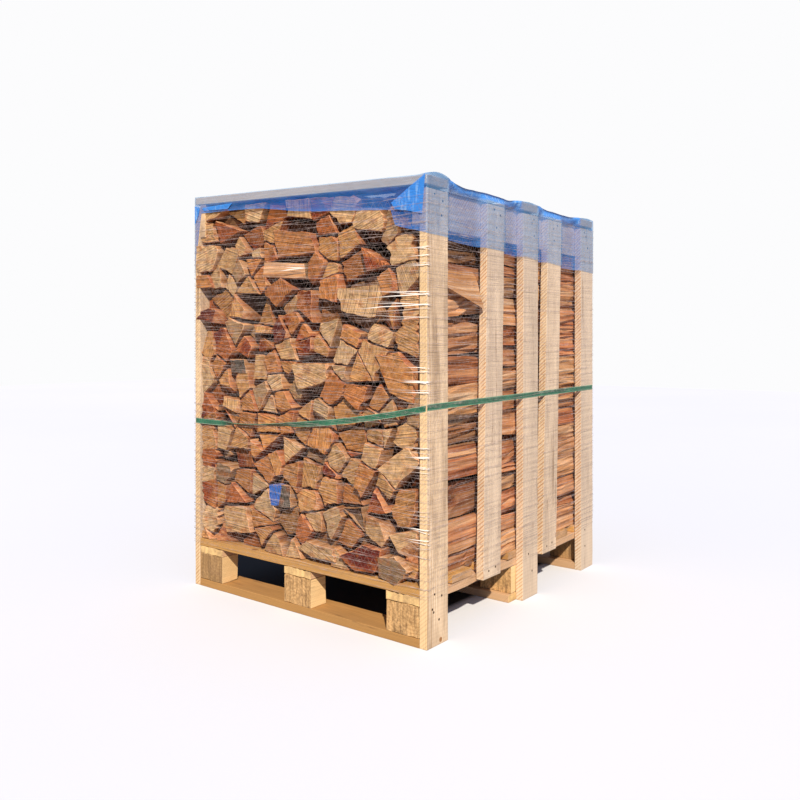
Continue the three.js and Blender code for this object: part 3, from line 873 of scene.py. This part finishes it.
def cross_log(rng):
    """A short log laid across, with its torn side to the front."""
    bm = bmesh.new()
    stand = Matrix.Rotation(math.radians(90), 4, "X") @ Matrix.Scale(CROSS_HIGH / 2 - 2 * MM, 4)
    bmesh.ops.create_grid(bm, x_segments=1, y_segments=1, size=1, matrix=stand)
    middle = Vector((CROSS_LOG.x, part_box("log_row_front")[0].y + CROSS_HIGH / 2 + 1 * MM, CROSS_LOG.z))
    tilt = Matrix.Rotation(math.radians(CROSS_TILT), 4, "Y")
    place = Matrix.Translation(middle) @ tilt @ Matrix.Rotation(math.radians(90), 4, "Z")
    make_log(bm, -CROSS_HALF, 7, rng, tone=0.05, length=2 * CROSS_HALF, place=place)
    bmesh.ops.transform(bm, verts=bm.verts[:], matrix=place)
    return bm


def stack_row(row, seed, stretches):
    rng = random.Random(seed)
    low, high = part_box(f"log_row_{row}")
    spots = plan_row(rng, CROSS_LOG if row == "front" else None)
    specials = special_logs(spots) if row == "front" else {}
    joined = bmesh.new()
    count = 0
    for spot in spots:
        point = spot[0]
        special = dict(specials.get(point.freeze(), {}))
        front = low.y
        outer = STACK_HALF - abs(point.x) < 0.8 * MEAN_WIDTH
        # nothing may be seen through one row alone, so the outer logs press against each other there
        tight_fit = outer and (row == "back" or point.x < 0)
        loose = outer and point.x > 0 and row != "back"
        wall_in = random.Random(round(point.z * 1e4)).choice((0, 2, 6, 11)) * MM if loose else 0.0
        bm = cell_of(spot, spots, rng, wall_in, gap_half=(-1.6 if tight_fit else 1.2) * MM)
        if bm and "outline" in special:
            # a listed outline leaves gaps; a second log stands further in and closes them
            add_bmesh(joined, make_log(bm, low.y + SET_IN, 2, random.Random(count),
                                       length=LOG_LENGTH - SET_IN))
            count += 1
            bm = bmesh.new()
            bm.faces.new([bm.verts.new((x, 0, z)) for x, z in special.pop("outline")])
            special["keep"] = 6
            if special.pop("over_post", False):
                special["flat"] = True
                front = FRONT_FACE - OVER_POST
        in_cross = row == "front" and abs(point.x - CROSS_LOG.x) < CROSS_HALF and point.z == CROSS_LOG.z
        if bm is None:
            continue
        if in_cross:
            # what stands behind the log that lies across
            add_bmesh(joined, make_log(bm, low.y + BEHIND_CROSS, 2, random.Random(count),
                                       length=LOG_LENGTH - BEHIND_CROSS))
            count += 1
            continue
        keep = rng.choice((5, 6)) + (1 if point.x < 0 else 0) if outer else rng.choice((3, 4, 4, 4, 5))
        keep = special.pop("keep", 8 if outer and row == "back" else keep)
        drop_corners(bm, keep)
        if outer and not special:
            special = {"lean": rng.uniform(-8, 0) * MM * (1 if point.x > 0 else -1), "rough": 2.6,
                       "twist": rng.uniform(-0.26, 0.26) * (0.25 if tight_fit else 1),
                       "tight": 0.12 if tight_fit else 0.3, "stand_out": tight_fit}
        pieces = 9 if outer else stretches
        add_bmesh(joined, make_log(bm, front, pieces, rng, **special))
        count += 1
    if row == "front":
        add_bmesh(joined, cross_log(rng))
        count += 1
    faces = len(joined.faces)
    piece = add_piece(f"split_logs_{row}", joined, hardwood, "split_log", [f"log_row_{row}"])
    print(f"{row} row: {count} logs, {faces} faces")
    return piece


rows = [stack_row(row, 31 + i, 3 if row == "middle" else 4) for i, row in enumerate(ROWS)]

# %% [markdown]
# ## The strap
#
# A woven polypropylene strap runs once round the uprights and pulls them together. Between the
# corners nothing holds it up on the open ends of the crate, so there it sags against the logs,
# and it has turned over half way along the front. It is a thin strip that follows the loop, made
# from a grid one face wide, and then given its thickness.

# %% round the crate
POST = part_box("upright_right_1")
SIDE_X, FRONT_Y, BACK_Y = POST[1].x, POST[0].y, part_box("upright_right_5")[1].y
CORNER = 3 * MM               # how round the crate's four corners are for what is wound on it


def ease(share):
    share = min(1.0, max(0.0, share))
    return share * share * (3 - 2 * share)


def round_crate(way, out):
    """A place on the loop round the crate, `way` metres from the front right corner going to the
    back, and the direction outwards. `out` is the distance from the uprights' outer faces."""
    half_x = SIDE_X + out - CORNER
    half_y = BACK_Y + out - CORNER
    turn = CORNER * math.pi / 2
    sides = (2 * half_y, 2 * half_x, 2 * half_y, 2 * half_x)
    way %= sum(sides) + 4 * turn
    centre = Vector((half_x, -half_y, 0))
    out_way, ahead = Vector((1, 0, 0)), Vector((0, 1, 0))
    for side in sides:
        if way <= side:
            return centre + ahead * way + out_way * CORNER, out_way
        centre = centre + ahead * side
        way -= side
        if way <= turn:
            angle = way / CORNER
            outward = out_way * math.cos(angle) + ahead * math.sin(angle)
            return centre + outward * CORNER, outward
        way -= turn
        out_way, ahead = ahead, -out_way
    return centre + out_way * CORNER, out_way


def loop_length(out):
    return 4 * (SIDE_X + BACK_Y + 2 * out - 2 * CORNER) + 2 * math.pi * CORNER


def strip(steps):
    """A flat strip one face wide, lying from x = 0 to 1 and from y = -0.5 to 0.5."""
    bm = bmesh.new()
    place = Matrix.Translation((0.5, 0, 0)) @ Matrix.Scale(0.5, 4)
    bmesh.ops.create_grid(bm, x_segments=steps, y_segments=1, size=1, matrix=place)
    return bm


print(f"once round the uprights is {loop_length(0):.2f} m")

# %% [markdown]
# Polypropylene tape is woven flat from strips 1 mm wide. It is slightly shiny, and the strips
# that run along it catch the light as fine lines.

# %% strap material
STRAP_TAPE_MM = 2.5          # a real tape is 1 mm wide, too fine to show


def woven_strap():
    material, node, shader = new_material("woven polypropylene strap", Roughness=0.38, IOR=1.5)
    weave = node("Attribute", attribute_name="weave").outputs["Vector"]
    parts = node("SeparateXYZ", weave)
    lines = node("TexWave", weave, bands_direction="Y",
                 Scale=RING_WAVE / (STRAP_TAPE_MM * MM)).outputs["Fac"]
    picks = node("TexWave", weave, bands_direction="X",
                 Scale=RING_WAVE / (STRAP_TAPE_MM * MM)).outputs["Fac"]
    woven = node("Math MULTIPLY", lines, picks)
    wear = node("TexNoise", weave, Scale=14, Detail=4)
    mixed = node("Math MULTIPLY_ADD", woven, 0.45, wear)
    colour = node("ValToRGB", mixed,
                  stops=[(0.35, "#174b38"), (0.6, "#27684f"), (0.95, "#4f9477")])
    edge = node("Math ABSOLUTE", parts.outputs["Y"])
    edge_line = node("MapRange", edge, 5.6 * MM, 6.8 * MM, 0, 0.6)
    colour = node("Mix RGBA", edge_line, colour, "#9fd0b6")
    bump = node("Bump", Strength=0.5, Distance=0.3 * MM, Height=woven)
    fill(shader, Base_Color=colour, Normal=bump)
    return material


strap_material = woven_strap()
print("strap: tapes drawn", STRAP_TAPE_MM, "mm apart")

# %% strap
STRAP_WIDTH = 15 * MM
STRAP_THICK = 0.8 * MM
STRAP_OUT = 0.6 * MM                                    # its middle, outside the uprights
STRAP_CORNERS = (0.583, 0.593, 0.540, 0.502, 0.583)     # its height at each corner in turn
STRAP_SAG = (0.0, 0.026, 0.0, 0.026)                    # how far it hangs between corners


def strap_height(share):
    """Height of the strap; share counts whole sides from the front right corner."""
    side = min(3, int(share))
    part = share - side
    straight = STRAP_CORNERS[side] * (1 - part) + STRAP_CORNERS[side + 1] * part
    return straight - STRAP_SAG[side] * 4 * part * (1 - part)


def sides_passed(way, out):
    """How many sides, and what share of the next one, lie before `way`."""
    lengths = [2 * (BACK_Y + out), 2 * (SIDE_X + out)] * 2
    for count, length in enumerate(lengths):
        if way <= length:
            return count + way / length
        way -= length
    return 4.0


def make_strap():
    bm = strip(420)
    weave = bm.verts.layers.float_vector.new("weave")
    length = loop_length(STRAP_OUT)
    for vert in bm.verts:
        way, across = vert.co.x * length, vert.co.y * STRAP_WIDTH
        place, outward = round_crate(way, STRAP_OUT)
        share = sides_passed(way, STRAP_OUT)
        # it turns almost edge-on between a third and a tenth of the front before the left corner
        turn = math.radians(78) * ease((share - 3.10) / 0.12) * ease((3.62 - share) / 0.35)
        turn = turn if share > 3 else 0
        lean = Vector((0, 0, math.cos(turn))) + outward * math.sin(turn)
        middle = Vector((place.x, place.y, strap_height(share))) - outward * 3.5 * MM * math.sin(turn)
        vert[weave] = Vector((way, across, 0))
        vert.co = middle + lean * across
    bmesh.ops.remove_doubles(bm, verts=bm.verts[:], dist=0.05 * MM)
    bmesh.ops.recalc_face_normals(bm, faces=bm.faces[:])
    bmesh.ops.solidify(bm, geom=bm.faces[:], thickness=STRAP_THICK)
    return add_piece("strap_woven", bm, strap_material, "strap_web", ["strap"])


strap = make_strap()
print("strap:", len(strap.data.polygons), "faces")

# %% [markdown]
# ## Nails
#
# Round wire nails hold the boards. Only the heads show: small domes, brown with rust, driven
# flush. A cone with its tip cut off makes a head, and all the heads are one joined piece.

# %% nails
HEAD_RADIUS = 3.2 * MM
HEAD_RISE = 0.5 * MM


def rusty_steel():
    material, node, shader = new_material("wire nail steel, rusted", Metallic=0.6, Roughness=0.6)
    place = node("TexCoord").outputs["Object"]
    rust = node("TexNoise", place, Scale=900, Detail=3)
    colour = node("ValToRGB", rust, stops=[(0.35, "#2b2420"), (0.6, "#5a3c28")])
    bump = node("Bump", Strength=0.4, Distance=0.2 * MM, Height=rust)
    fill(shader, Base_Color=colour, Normal=bump)
    return material


def nail_heads():
    rng = random.Random(5)
    bm = bmesh.new()
    for side_name, side in zip(SIDES, (-1, 1)):
        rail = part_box(f"top_rail_{side_name}")
        for i in range(1, 6):
            low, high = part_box(f"upright_{side_name}_{i}")
            stands = low.z < 10 * MM
            leans = {2: 1, 4: 1}.get(i, 0)
            foot_y = (low.y + 48 * MM) if leans else (low.y + high.y) / 2
            head_y = (high.y - 48 * MM) if leans else (low.y + high.y) / 2
            foot_heights = (0.062, 0.085, 0.093, 0.118, 0.128) if i == 1 else (0.075, 0.128)
            feet = [(foot_y, z) for z in foot_heights]
            if not stands:
                feet = [(foot_y - 18 * MM, 0.128), (foot_y + 18 * MM, 0.132)]
            heads = [(head_y, rail[1].z - drop * MM) for drop in (22, 34, 70)]
            for y, z in feet + heads:
                spread = 0 if (not stands and z < 0.2) else rng.uniform(-24, 24) * MM
                place = Matrix.Translation((side * (SIDE_X + HEAD_RISE / 2), y + spread, z))
                turn = Matrix.Rotation(math.radians(90 * side), 4, "Y")
                bmesh.ops.create_cone(bm, cap_ends=True, segments=10, radius1=HEAD_RADIUS,
                                      radius2=HEAD_RADIUS * 0.6, depth=HEAD_RISE, matrix=place @ turn)
    return add_piece("nail_heads", bm, rusty_steel(), "nail_steel")


nails = nail_heads()
print("nails:", len(nails.data.polygons) // 12)

# %% [markdown]
# ## The film cap
#
# A sheet of thin blue polyethylene lies over the top boards and hangs down on all four sides.
# It is see-through and adds a blue haze to what is behind it. It is tight over each post and
# board, falls in between them, and its spare corners are folded flat against the ends. Cloth
# simulation would give a softer drape than film, which creases rather than flows, so the sheet
# is a fine grid moved by functions: where it is held, how far it falls in, and its creases.

# %% what holds the film
FILM_GAP = 0.8 * MM
FILM_CELL = 6 * MM
TOP_BOARDS = [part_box(f"top_board_{row}") for row in ROWS]
BOARD_SPANS = [(low.y, high.y) for low, high in TOP_BOARDS]
TOP_LEFT, TOP_RIGHT = (corner_height("top_board_front", side) for side in (-1, 1))
BOARD_THICK = 22 * MM


def board_top(x):
    return TOP_RIGHT + (TOP_LEFT - TOP_RIGHT) * (SIDE_X - x) / (2 * SIDE_X)


def head_span(node):
    """Where an upright's head reaches from front to back."""
    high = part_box(node)[1].z
    ys = [v.co.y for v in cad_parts[node].data.vertices if v.co.z > 0.9 * high]
    return min(ys), max(ys)


POST_SPANS = [head_span(f"upright_right_{i}") for i in range(1, 6)]


def off_spans(value, spans, reach):
    """0 where something holds the film, rising to 1 at `reach` from the nearest support."""
    gap = min(max(0.0, low - value, value - high) for low, high in spans)
    return ease(gap / reach)


def path_height(stops, place):
    """Reads a height off a path of (place, height) stops."""
    for (a, height_a), (b, height_b) in zip(stops, stops[1:]):
        if place <= b:
            return height_a + (height_b - height_a) * max(0.0, place - a) / (b - a)
    return stops[-1][1]


def crease(x, y, seed):
    """Sharp ridges like creases, from -1 to 1."""
    return 1 - 2 * abs(noise.noise(Vector((x, y, seed))))


print("film is held by", len(POST_SPANS), "posts on each side and", len(BOARD_SPANS), "boards")

# %% [markdown]
# The hem isn't level: on the long sides it is nearly straight, and on the front it climbs to the
# left, because the sheet was laid on by hand. Heights are metres above the floor.

# %% film hems
RIGHT_HEM = ((FRONT_Y, 1.002), (BACK_Y, 0.970))
LEFT_HEM = ((FRONT_Y, 0.945), (-0.40, 1.036), (BACK_Y, 1.008))
FRONT_HEM = ((-SIDE_X, 1.000), (-0.410, 1.030), (-0.394, 1.134), (-0.27, 1.131), (-0.136, 1.122),
             (0.01, 1.098), (0.168, 1.082), (0.296, 1.072), (0.315, 1.068), (0.325, 1.030),
             (0.387, 1.012), (SIDE_X, 1.002))
BACK_HEM = ((-SIDE_X, 1.008), (-0.33, 1.046), (-0.1, 1.062), (0.2, 1.078), (0.36, 1.082), (SIDE_X, 0.970))
BOARD_FALL = 9 * MM           # how far the film's upper edge falls in between boards
WALL_FALL = 20 * MM           # how far the wall falls in between uprights


def side_place(side, y, z):
    """x of the film on a long side (side is -1 or 1), at depth y and height z."""
    top = board_top(side * SIDE_X)
    held_by_board = off_spans(y, BOARD_SPANS, 70 * MM)
    held_by_post = off_spans(y, POST_SPANS, 32 * MM)
    edge_x = SIDE_X + FILM_GAP - BOARD_FALL * held_by_board
    wall_x = SIDE_X + FILM_GAP - WALL_FALL * held_by_post
    below = ease((top - 8 * MM * held_by_board - z) / (26 * MM))
    slack = 0.25 + held_by_post
    folds = 1.1 * MM * slack * crease((y + 0.7 * z) * 17, (z - 0.6 * y) * 5, 3 + side)
    folds += 0.5 * MM * crease(y * 60, z * 11, 8 + side)
    folds += 1.6 * MM * held_by_post * noise.noise(Vector((y * 30, z * 22, 5 * side)))
    # it never goes into the post or the rail behind it
    stop = SIDE_X + 0.3 * MM - 21.4 * MM * ease(held_by_post * 3) * below
    place = edge_x * (1 - below) + wall_x * below + folds * (0.3 + 0.7 * below)
    return side * max(stop if below > 0.5 else 0, place)


def end_place(end, x, z):
    """y of the film on the front (-1) or the back (1), at place x and height z."""
    under = board_top(x) - BOARD_THICK - z
    free = ease(under / (18 * MM)) * ease((RAIL_IN - 5 * MM - abs(x)) / (30 * MM))
    folds = 0.4 * MM * crease((x + z) * 28, (z - x) * 7, 14 + end)
    folds += free * (1.6 * MM * crease((x - 1.5 * z) * 14, (z + 0.4 * x) * 9, 17 + end) - 1.2 * MM)
    return end * (BACK_Y + FILM_GAP - 2.5 * MM * free + folds)


PUFFS = {(-1, -1): 5, (1, -1): 11, (-1, 1): 5, (1, 1): 4}          # mm, at each corner


def top_place(x, y):
    """z of the film where it lies over the boards."""
    free = off_spans(y, BOARD_SPANS, 90 * MM)
    middle = ease((SIDE_X - abs(x)) / (90 * MM))
    z = board_top(x) + FILM_GAP - free * (7 + 9 * middle) * MM
    z += free * 3 * MM * noise.noise(Vector((x * 9, y * 9, 1)))
    z += (0.4 + 1.4 * free) * MM * crease((x + 0.4 * y) * 12, (y - 0.3 * x) * 12, 21)
    side = 1 if x > 0 else -1
    at_end = ease((abs(x) - SIDE_X + 42 * MM) / (34 * MM))
    for (low, high), end in zip((BOARD_SPANS[0], BOARD_SPANS[2]), (-1, 1)):
        share = (y - low) / (high - low + 12 * MM)
        if 0 < share < 1:
            z += PUFFS[(side, end)] * MM * at_end * math.sin(math.pi * share) ** 0.7
    share = (y - BOARD_SPANS[1][0]) / 95 / MM
    if 0 < share < 1:
        z += 2.5 * MM * at_end * math.sin(math.pi * share)
    return z


def hem_height(x, y):
    """How low the film reaches under a place on the rim of the top."""
    if abs(abs(x) - SIDE_X) < 2 * MM:
        hem = path_height(LEFT_HEM if x < 0 else RIGHT_HEM, y)
        return hem + 2 * MM * noise.noise(Vector((y * 14, x, 0)))
    hems = FRONT_HEM if y < 0 else BACK_HEM
    return path_height(hems, x) + 1.5 * MM * noise.noise(Vector((x * 22, y, 0)))


RAIL_HEIGHTS = {side: (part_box(f"top_rail_{name}")[0].z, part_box(f"top_rail_{name}")[1].z)
                for name, side in zip(SIDES, (-1, 1))}


def film_state(place, on_side, on_end, drop):
    """How far the film clings to pale wood at a place, and how far folds are gathered there."""
    over_board = 1 - off_spans(place.y, BOARD_SPANS, 12 * MM)
    near_edge = ease((abs(place.x) - SIDE_X + 45 * MM) / (40 * MM))
    at_end = ease((abs(place.x) - SIDE_X + 42 * MM) / (34 * MM))
    if on_side:
        low, high = RAIL_HEIGHTS[1 if place.x > 0 else -1]
        in_air = ease((place.z - high + 2 * MM) / (5 * MM)) * (1 - over_board)
        over_rail = ease((place.z - low + 4 * MM) / (8 * MM))
        over_post = 1 - off_spans(place.y, POST_SPANS, 10 * MM)
        return max(0.3 * over_rail, 0.85 * over_post) * (1 - in_air), in_air
    if on_end:
        over_face = ease((place.z - board_top(place.x) + BOARD_THICK + 3 * MM) / (6 * MM))
        return 1.3 * over_face, 0.3 * ease((drop - 0.86) / 0.1)
    return over_board, max((1 - over_board) * max(0.5, near_edge), 0.85 * at_end)


print("film hangs", round((TOP_RIGHT - path_height(RIGHT_HEM, 0)) / MM), "mm down on the right side")

# %% [markdown]
# The sheet starts as a grid over the top. Its rim is extruded down in steps to make the four
# walls, and then the corners get their spare film as flaps laid flat against the ends: two more
# layers at each front corner, one at each back corner.

# %% make the film
WALL_STEPS = 22


def patch(corners, layer, end, seed):
    """A folded flap on the front or back: a grid stretched over four (x, z) corners."""
    bm = bmesh.new()
    bmesh.ops.create_grid(bm, x_segments=14, y_segments=14, size=0.5)
    gather = bm.verts.layers.float.new("gather")
    for vert in bm.verts:
        vert[gather] = 0.8
        u, v = vert.co.x + 0.5, vert.co.y + 0.5
        a, b, c, d = (Vector(corner) for corner in corners)
        place = (a * (1 - u) + b * u) * (1 - v) + (d * (1 - u) + c * u) * v
        creased = crease((place.x + place.y) * 55, (place.x - place.y) * 12, seed)
        lift = layer * 0.7 * MM + 0.6 * MM * creased
        depth = BACK_Y + FILM_GAP + 0.5 * MM + lift
        vert.co = Vector((place.x, end * depth, place.y))
    return bm


FRONT_FLAPS = (
    ((0.4185, 1.146), (0.318, 1.086), (0.328, 1.068), (0.400, 1.056)),
    ((0.4185, 1.142), (0.345, 1.090), (0.356, 1.064), (0.410, 1.050)),
    ((-0.390, 1.150), (-0.255, 1.150), (-0.275, 1.135), (-0.380, 1.140)),
    ((-0.4215, 1.158), (-0.398, 1.152), (-0.404, 1.130), (-0.4215, 1.100)),
)
BACK_FLAPS = (
    ((0.4185, 1.142), (0.345, 1.090), (0.350, 1.040), (0.418, 1.000)),
    ((-0.4215, 1.178), (-0.340, 1.120), (-0.350, 1.060), (-0.418, 1.030)),
)


def make_film(material):
    bm = bmesh.new()
    cling = bm.verts.layers.float.new("cling")
    gather = bm.verts.layers.float.new("gather")
    across, along = round(2 * SIDE_X / FILM_CELL), round(2 * BACK_Y / FILM_CELL)
    stretch = Matrix.Diagonal((SIDE_X + FILM_GAP, BACK_Y + FILM_GAP, 1, 1))
    bmesh.ops.create_grid(bm, x_segments=across, y_segments=along, size=1, matrix=stretch)
    rim = [e for e in bm.edges if e.is_boundary]
    rings = []
    for _ in range(WALL_STEPS):
        grown = bmesh.ops.extrude_edge_only(bm, edges=rim)["geom"]
        rim = [g for g in grown if isinstance(g, bmesh.types.BMEdge) and g.is_boundary]
        rings.append([g for g in grown if isinstance(g, bmesh.types.BMVert)])
    in_wall = {vert: step / WALL_STEPS for step, ring in enumerate(rings, 1) for vert in ring}
    for vert in bm.verts:
        x, y = vert.co.x, vert.co.y
        on_side = abs(x) > SIDE_X
        on_end = abs(y) > BACK_Y
        top = top_place(x, y)
        drop = in_wall.get(vert, 0)
        z = top + (hem_height(x, y) - top) * drop
        if on_side:
            x = side_place(1 if x > 0 else -1, y, z)
        if on_end:
            y = end_place(1 if y > 0 else -1, vert.co.x, z)
        vert.co = Vector((x, y, z))
        vert[cling], vert[gather] = film_state(vert.co, on_side, on_end, drop)
    bmesh.ops.recalc_face_normals(bm, faces=bm.faces[:])
    for end, flaps in ((-1, FRONT_FLAPS), (1, BACK_FLAPS)):
        for layer, corners in enumerate(flaps):
            add_bmesh(bm, patch(corners, 1 + layer % 2, end, layer))
    for face in bm.faces:
        face.smooth = True
    return add_piece("film_sheet", bm, material, "blue_film", ["film_cap"])


# %% [markdown]
# Polyethylene film 0.1 mm thick is glossy, with an index of 1.5. About half of the light goes
# straight through, and the rest is scattered blue. Where it clings to pale wood it is painted paler
# and made more see-through, for the light that comes back through it, and where folds are gathered
# it is nearly solid and painted a lighter blue, as if better lit: the attributes "cling" and
# "gather" say where. Fine crumples and creases come from bump.

# %% film material
def polyethylene():
    material, node, shader = new_material("blue polyethylene film", Roughness=0.2, IOR=1.5)
    place = node("TexCoord").outputs["Object"]
    haze = node("TexNoise", place, Scale=9, Detail=4)
    colour = node("ValToRGB", haze, stops=[(0.35, "#2a6fd2"), (0.65, "#4a90e4")])
    cling = node("Attribute", attribute_name="cling").outputs["Fac"]
    gather = node("Attribute", attribute_name="gather").outputs["Fac"]
    # painted light: paler where the film clings to pale wood, and a lighter blue where folds are gathered
    pale = node("Mix RGBA", cling, colour, "#66b4fa")
    deep = node("Mix RGBA", gather, pale, "#3f94f5")
    free = node("MapRange", cling, 0, 1, 0.47, 0.34, clamp=False)
    drawn = node("Mapping", place, Rotation=(0.5, 0.6, 0.3), Scale=(1, 1, 3))
    crumple = node("TexNoise", drawn, Scale=45, Detail=3, Roughness=0.5)
    folds = node("TexVoronoi", drawn, feature="DISTANCE_TO_EDGE", Scale=24)
    fold_line = node("MapRange", folds, 0, 0.12)
    # a sharp crease turns the film milky
    milky = node("MapRange", folds, 0, 0.035, 0.2, 0.0)
    milky_here = node("MapRange", haze, 0.5, 0.64)
    crease_part = node("Math MULTIPLY", milky, milky_here)
    # painted highlights: pale streaks on the gathered folds, where they would catch the light
    streak_place = node("Mapping", place, Rotation=(0, 0.7, 0), Scale=(1, 1, 0.2))
    streaks = node("TexNoise", streak_place, Scale=110, Detail=3)
    highlight_streak = node("MapRange", streaks, 0.54, 0.7)
    painted_highlight = node("Math MULTIPLY", highlight_streak, gather)
    deep = node("Mix RGBA", painted_highlight, deep, "#8fc0fa")
    look = node("Mix RGBA", crease_part, deep, "#dce8f8")
    solid = node("Math MAXIMUM", crease_part, gather)
    dense = node("MapRange", solid, 0, 1, free, 0.88)
    relief = node("Math MULTIPLY_ADD", fold_line, 0.35, crumple)
    bump = node("Bump", Strength=0.5, Distance=2.5 * MM, Height=relief)
    fill(shader, Base_Color=look, Alpha=dense, Normal=bump)
    return material


film = make_film(polyethylene())
print("film:", len(film.data.polygons), "faces")

# %% [markdown]
# ## The stretched net
#
# Pallet net is knitted from thin clear yarns and wound on under tension, turn over turn. What
# shows is many fine, nearly level strands that cross at small angles, with finer yarn going
# zigzag between them. On the sunny corner and in a few places on the front the strands are
# painted white as a highlight, where they would flash, and drawn wider. Each strand is a closed
# ribbon round the whole crate. A real yarn is 0.4 mm thick, too fine to show, so the ribbons are
# drawn 1.1 to 1.3 mm wide, and wider where they flash.

# %% net material
def net_yarn():
    material, node, shader = new_material("polyethylene net yarn", Roughness=0.3, IOR=1.5)
    # painted highlight: strands are painted white and nearly opaque where they flash
    shine = node("Attribute", attribute_name="painted_glint").outputs["Fac"]
    place = node("TexCoord").outputs["Object"]
    twist = node("TexNoise", place, Scale=60, Detail=3)
    yarn = node("ValToRGB", twist, stops=[(0.35, "#8c7c7e"), (0.65, "#d2c3c2")])
    colour = node("Mix RGBA", shine, yarn, "#fffdfb")
    thin = node("Attribute", attribute_name="thin").outputs["Fac"]
    # light catches a yarn here and there only
    glint = node("TexNoise", place, Scale=16, Detail=3)
    strand_seen = node("MapRange", glint, 0.35, 0.65, 0.14, 0.52)
    seen = node("MapRange", thin, 0, 1, strand_seen, 0.22)
    see = node("MapRange", shine, 0, 1, seen, 0.95)
    bump = node("Bump", Strength=0.4, Distance=0.5 * MM, Height=twist)
    fill(shader, Base_Color=colour, Alpha=see, Normal=bump)
    return material


# %% wind the net
NET_OUT = 3.6 * MM
NET_LOW, NET_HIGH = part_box("wrap_net")[0].z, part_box("wrap_net")[1].z
NET_LOOP = loop_length(NET_OUT)
STRAND_STEP = 14 * MM
YARN_WIDTH = 0.8 * MM
TURNS = (                      # pitch between strands, rise at the far side, and width, in mm
    (20.0, 14.0, 1.3),
    (21.0, -26.0, 1.2),
    (30.0, 44.0, 1.1),
    (27.0, -52.0, 1.1),
)


def strand_height(base, rise, seed, way):
    """A strand climbs and falls once round the crate, and wavers a little."""
    round_share = way / NET_LOOP
    turned = math.tau * round_share
    swing = rise * MM * math.sin(turned + seed)
    waver = 2.2 * MM * noise.noise(Vector((10 * math.cos(turned), 10 * math.sin(turned), base * 40 + seed)))
    return base + swing + waver


# painted highlights, where strands are painted white and drawn wider: x and z on the front, how far that
# reaches, how strong it is
GLINTS = (
    ((0.400, 0.835), (0.230, 0.060), 1.5),
    ((0.425, 0.650), (0.090, 0.075), 1.1),
    ((0.425, 0.950), (0.080, 0.060), 0.9),
    ((0.425, 0.455), (0.070, 0.060), 0.8),
    ((0.425, 0.270), (0.080, 0.080), 1.1),
    ((-0.010, 0.940), (0.070, 0.014), 1.3),
)


def glint(place, base):
    """How strongly a strand is painted white as a highlight at a place on the front, and widened; not every
    strand is.
    """
    luck = random.Random(round(base * 1e4)).uniform(-0.3, 1.1)
    best = 0.0
    for (x, z), (wide, high), strength in GLINTS:
        aside = abs(place.x - x) + 20 * max(0.0, place.y - FRONT_Y)
        here = ease(1 - aside / wide) * ease(1 - abs(place.z - z) / high)
        best = max(best, here * strength)
    return min(1.0, best * 2 * max(0.0, luck))


def make_net(material):
    joined = bmesh.new()
    steps = round(NET_LOOP / STRAND_STEP)
    count = 0
    for layer, (pitch, rise, width) in enumerate(TURNS):
        heights = []
        base = NET_LOW + 34 * MM + layer * 7 * MM
        while base < NET_HIGH - abs(rise) * 0.3 * MM:
            heights.append(base)
            base += pitch * MM * (0.75 + 0.5 * random.Random(round(base * 1e4)).random())
        for base in heights:
            bm = strip(steps)
            painted_glint = bm.verts.layers.float.new("painted_glint")
            for vert in bm.verts:
                way = vert.co.x * NET_LOOP
                place = round_crate(way, NET_OUT - layer * 0.25 * MM)[0]
                z = strand_height(base, rise, layer * 2.1, way)
                flash = glint(Vector((place.x, place.y, z)), base)
                wide = width * MM * (1 + 0.9 * flash)
                vert[painted_glint] = flash
                vert.co = place + Vector((0, 0, min(NET_HIGH, max(NET_LOW, z)) + vert.co.y * wide))
            add_bmesh(joined, bm)
            count += 1
        if layer > 1:
            continue
        for base, above in zip(heights, heights[1:]):
            zigs = round(NET_LOOP / (11 * MM) / 2) * 2
            bm = strip(zigs)
            bm.verts.layers.float.new("painted_glint")
            thin = bm.verts.layers.float.new("thin")
            for vert in bm.verts:
                vert[thin] = 1
                way = vert.co.x * NET_LOOP
                turn = round(vert.co.x * zigs) % 2
                side = vert.co.y * YARN_WIDTH
                place = round_crate(way + side, NET_OUT - layer * 0.25 * MM - 0.1 * MM)[0]
                low = strand_height(base, rise, layer * 2.1, way)
                high = strand_height(above, rise, layer * 2.1, way)
                vert.co = place + Vector((0, 0, min(NET_HIGH, max(NET_LOW, high if turn else low))))
            add_bmesh(joined, bm)
    print("net:", count, "strands,", len(joined.faces), "faces")
    return add_piece("net_strands", joined, material, "net_yarn", ["wrap_net"])


net = make_net(net_yarn())
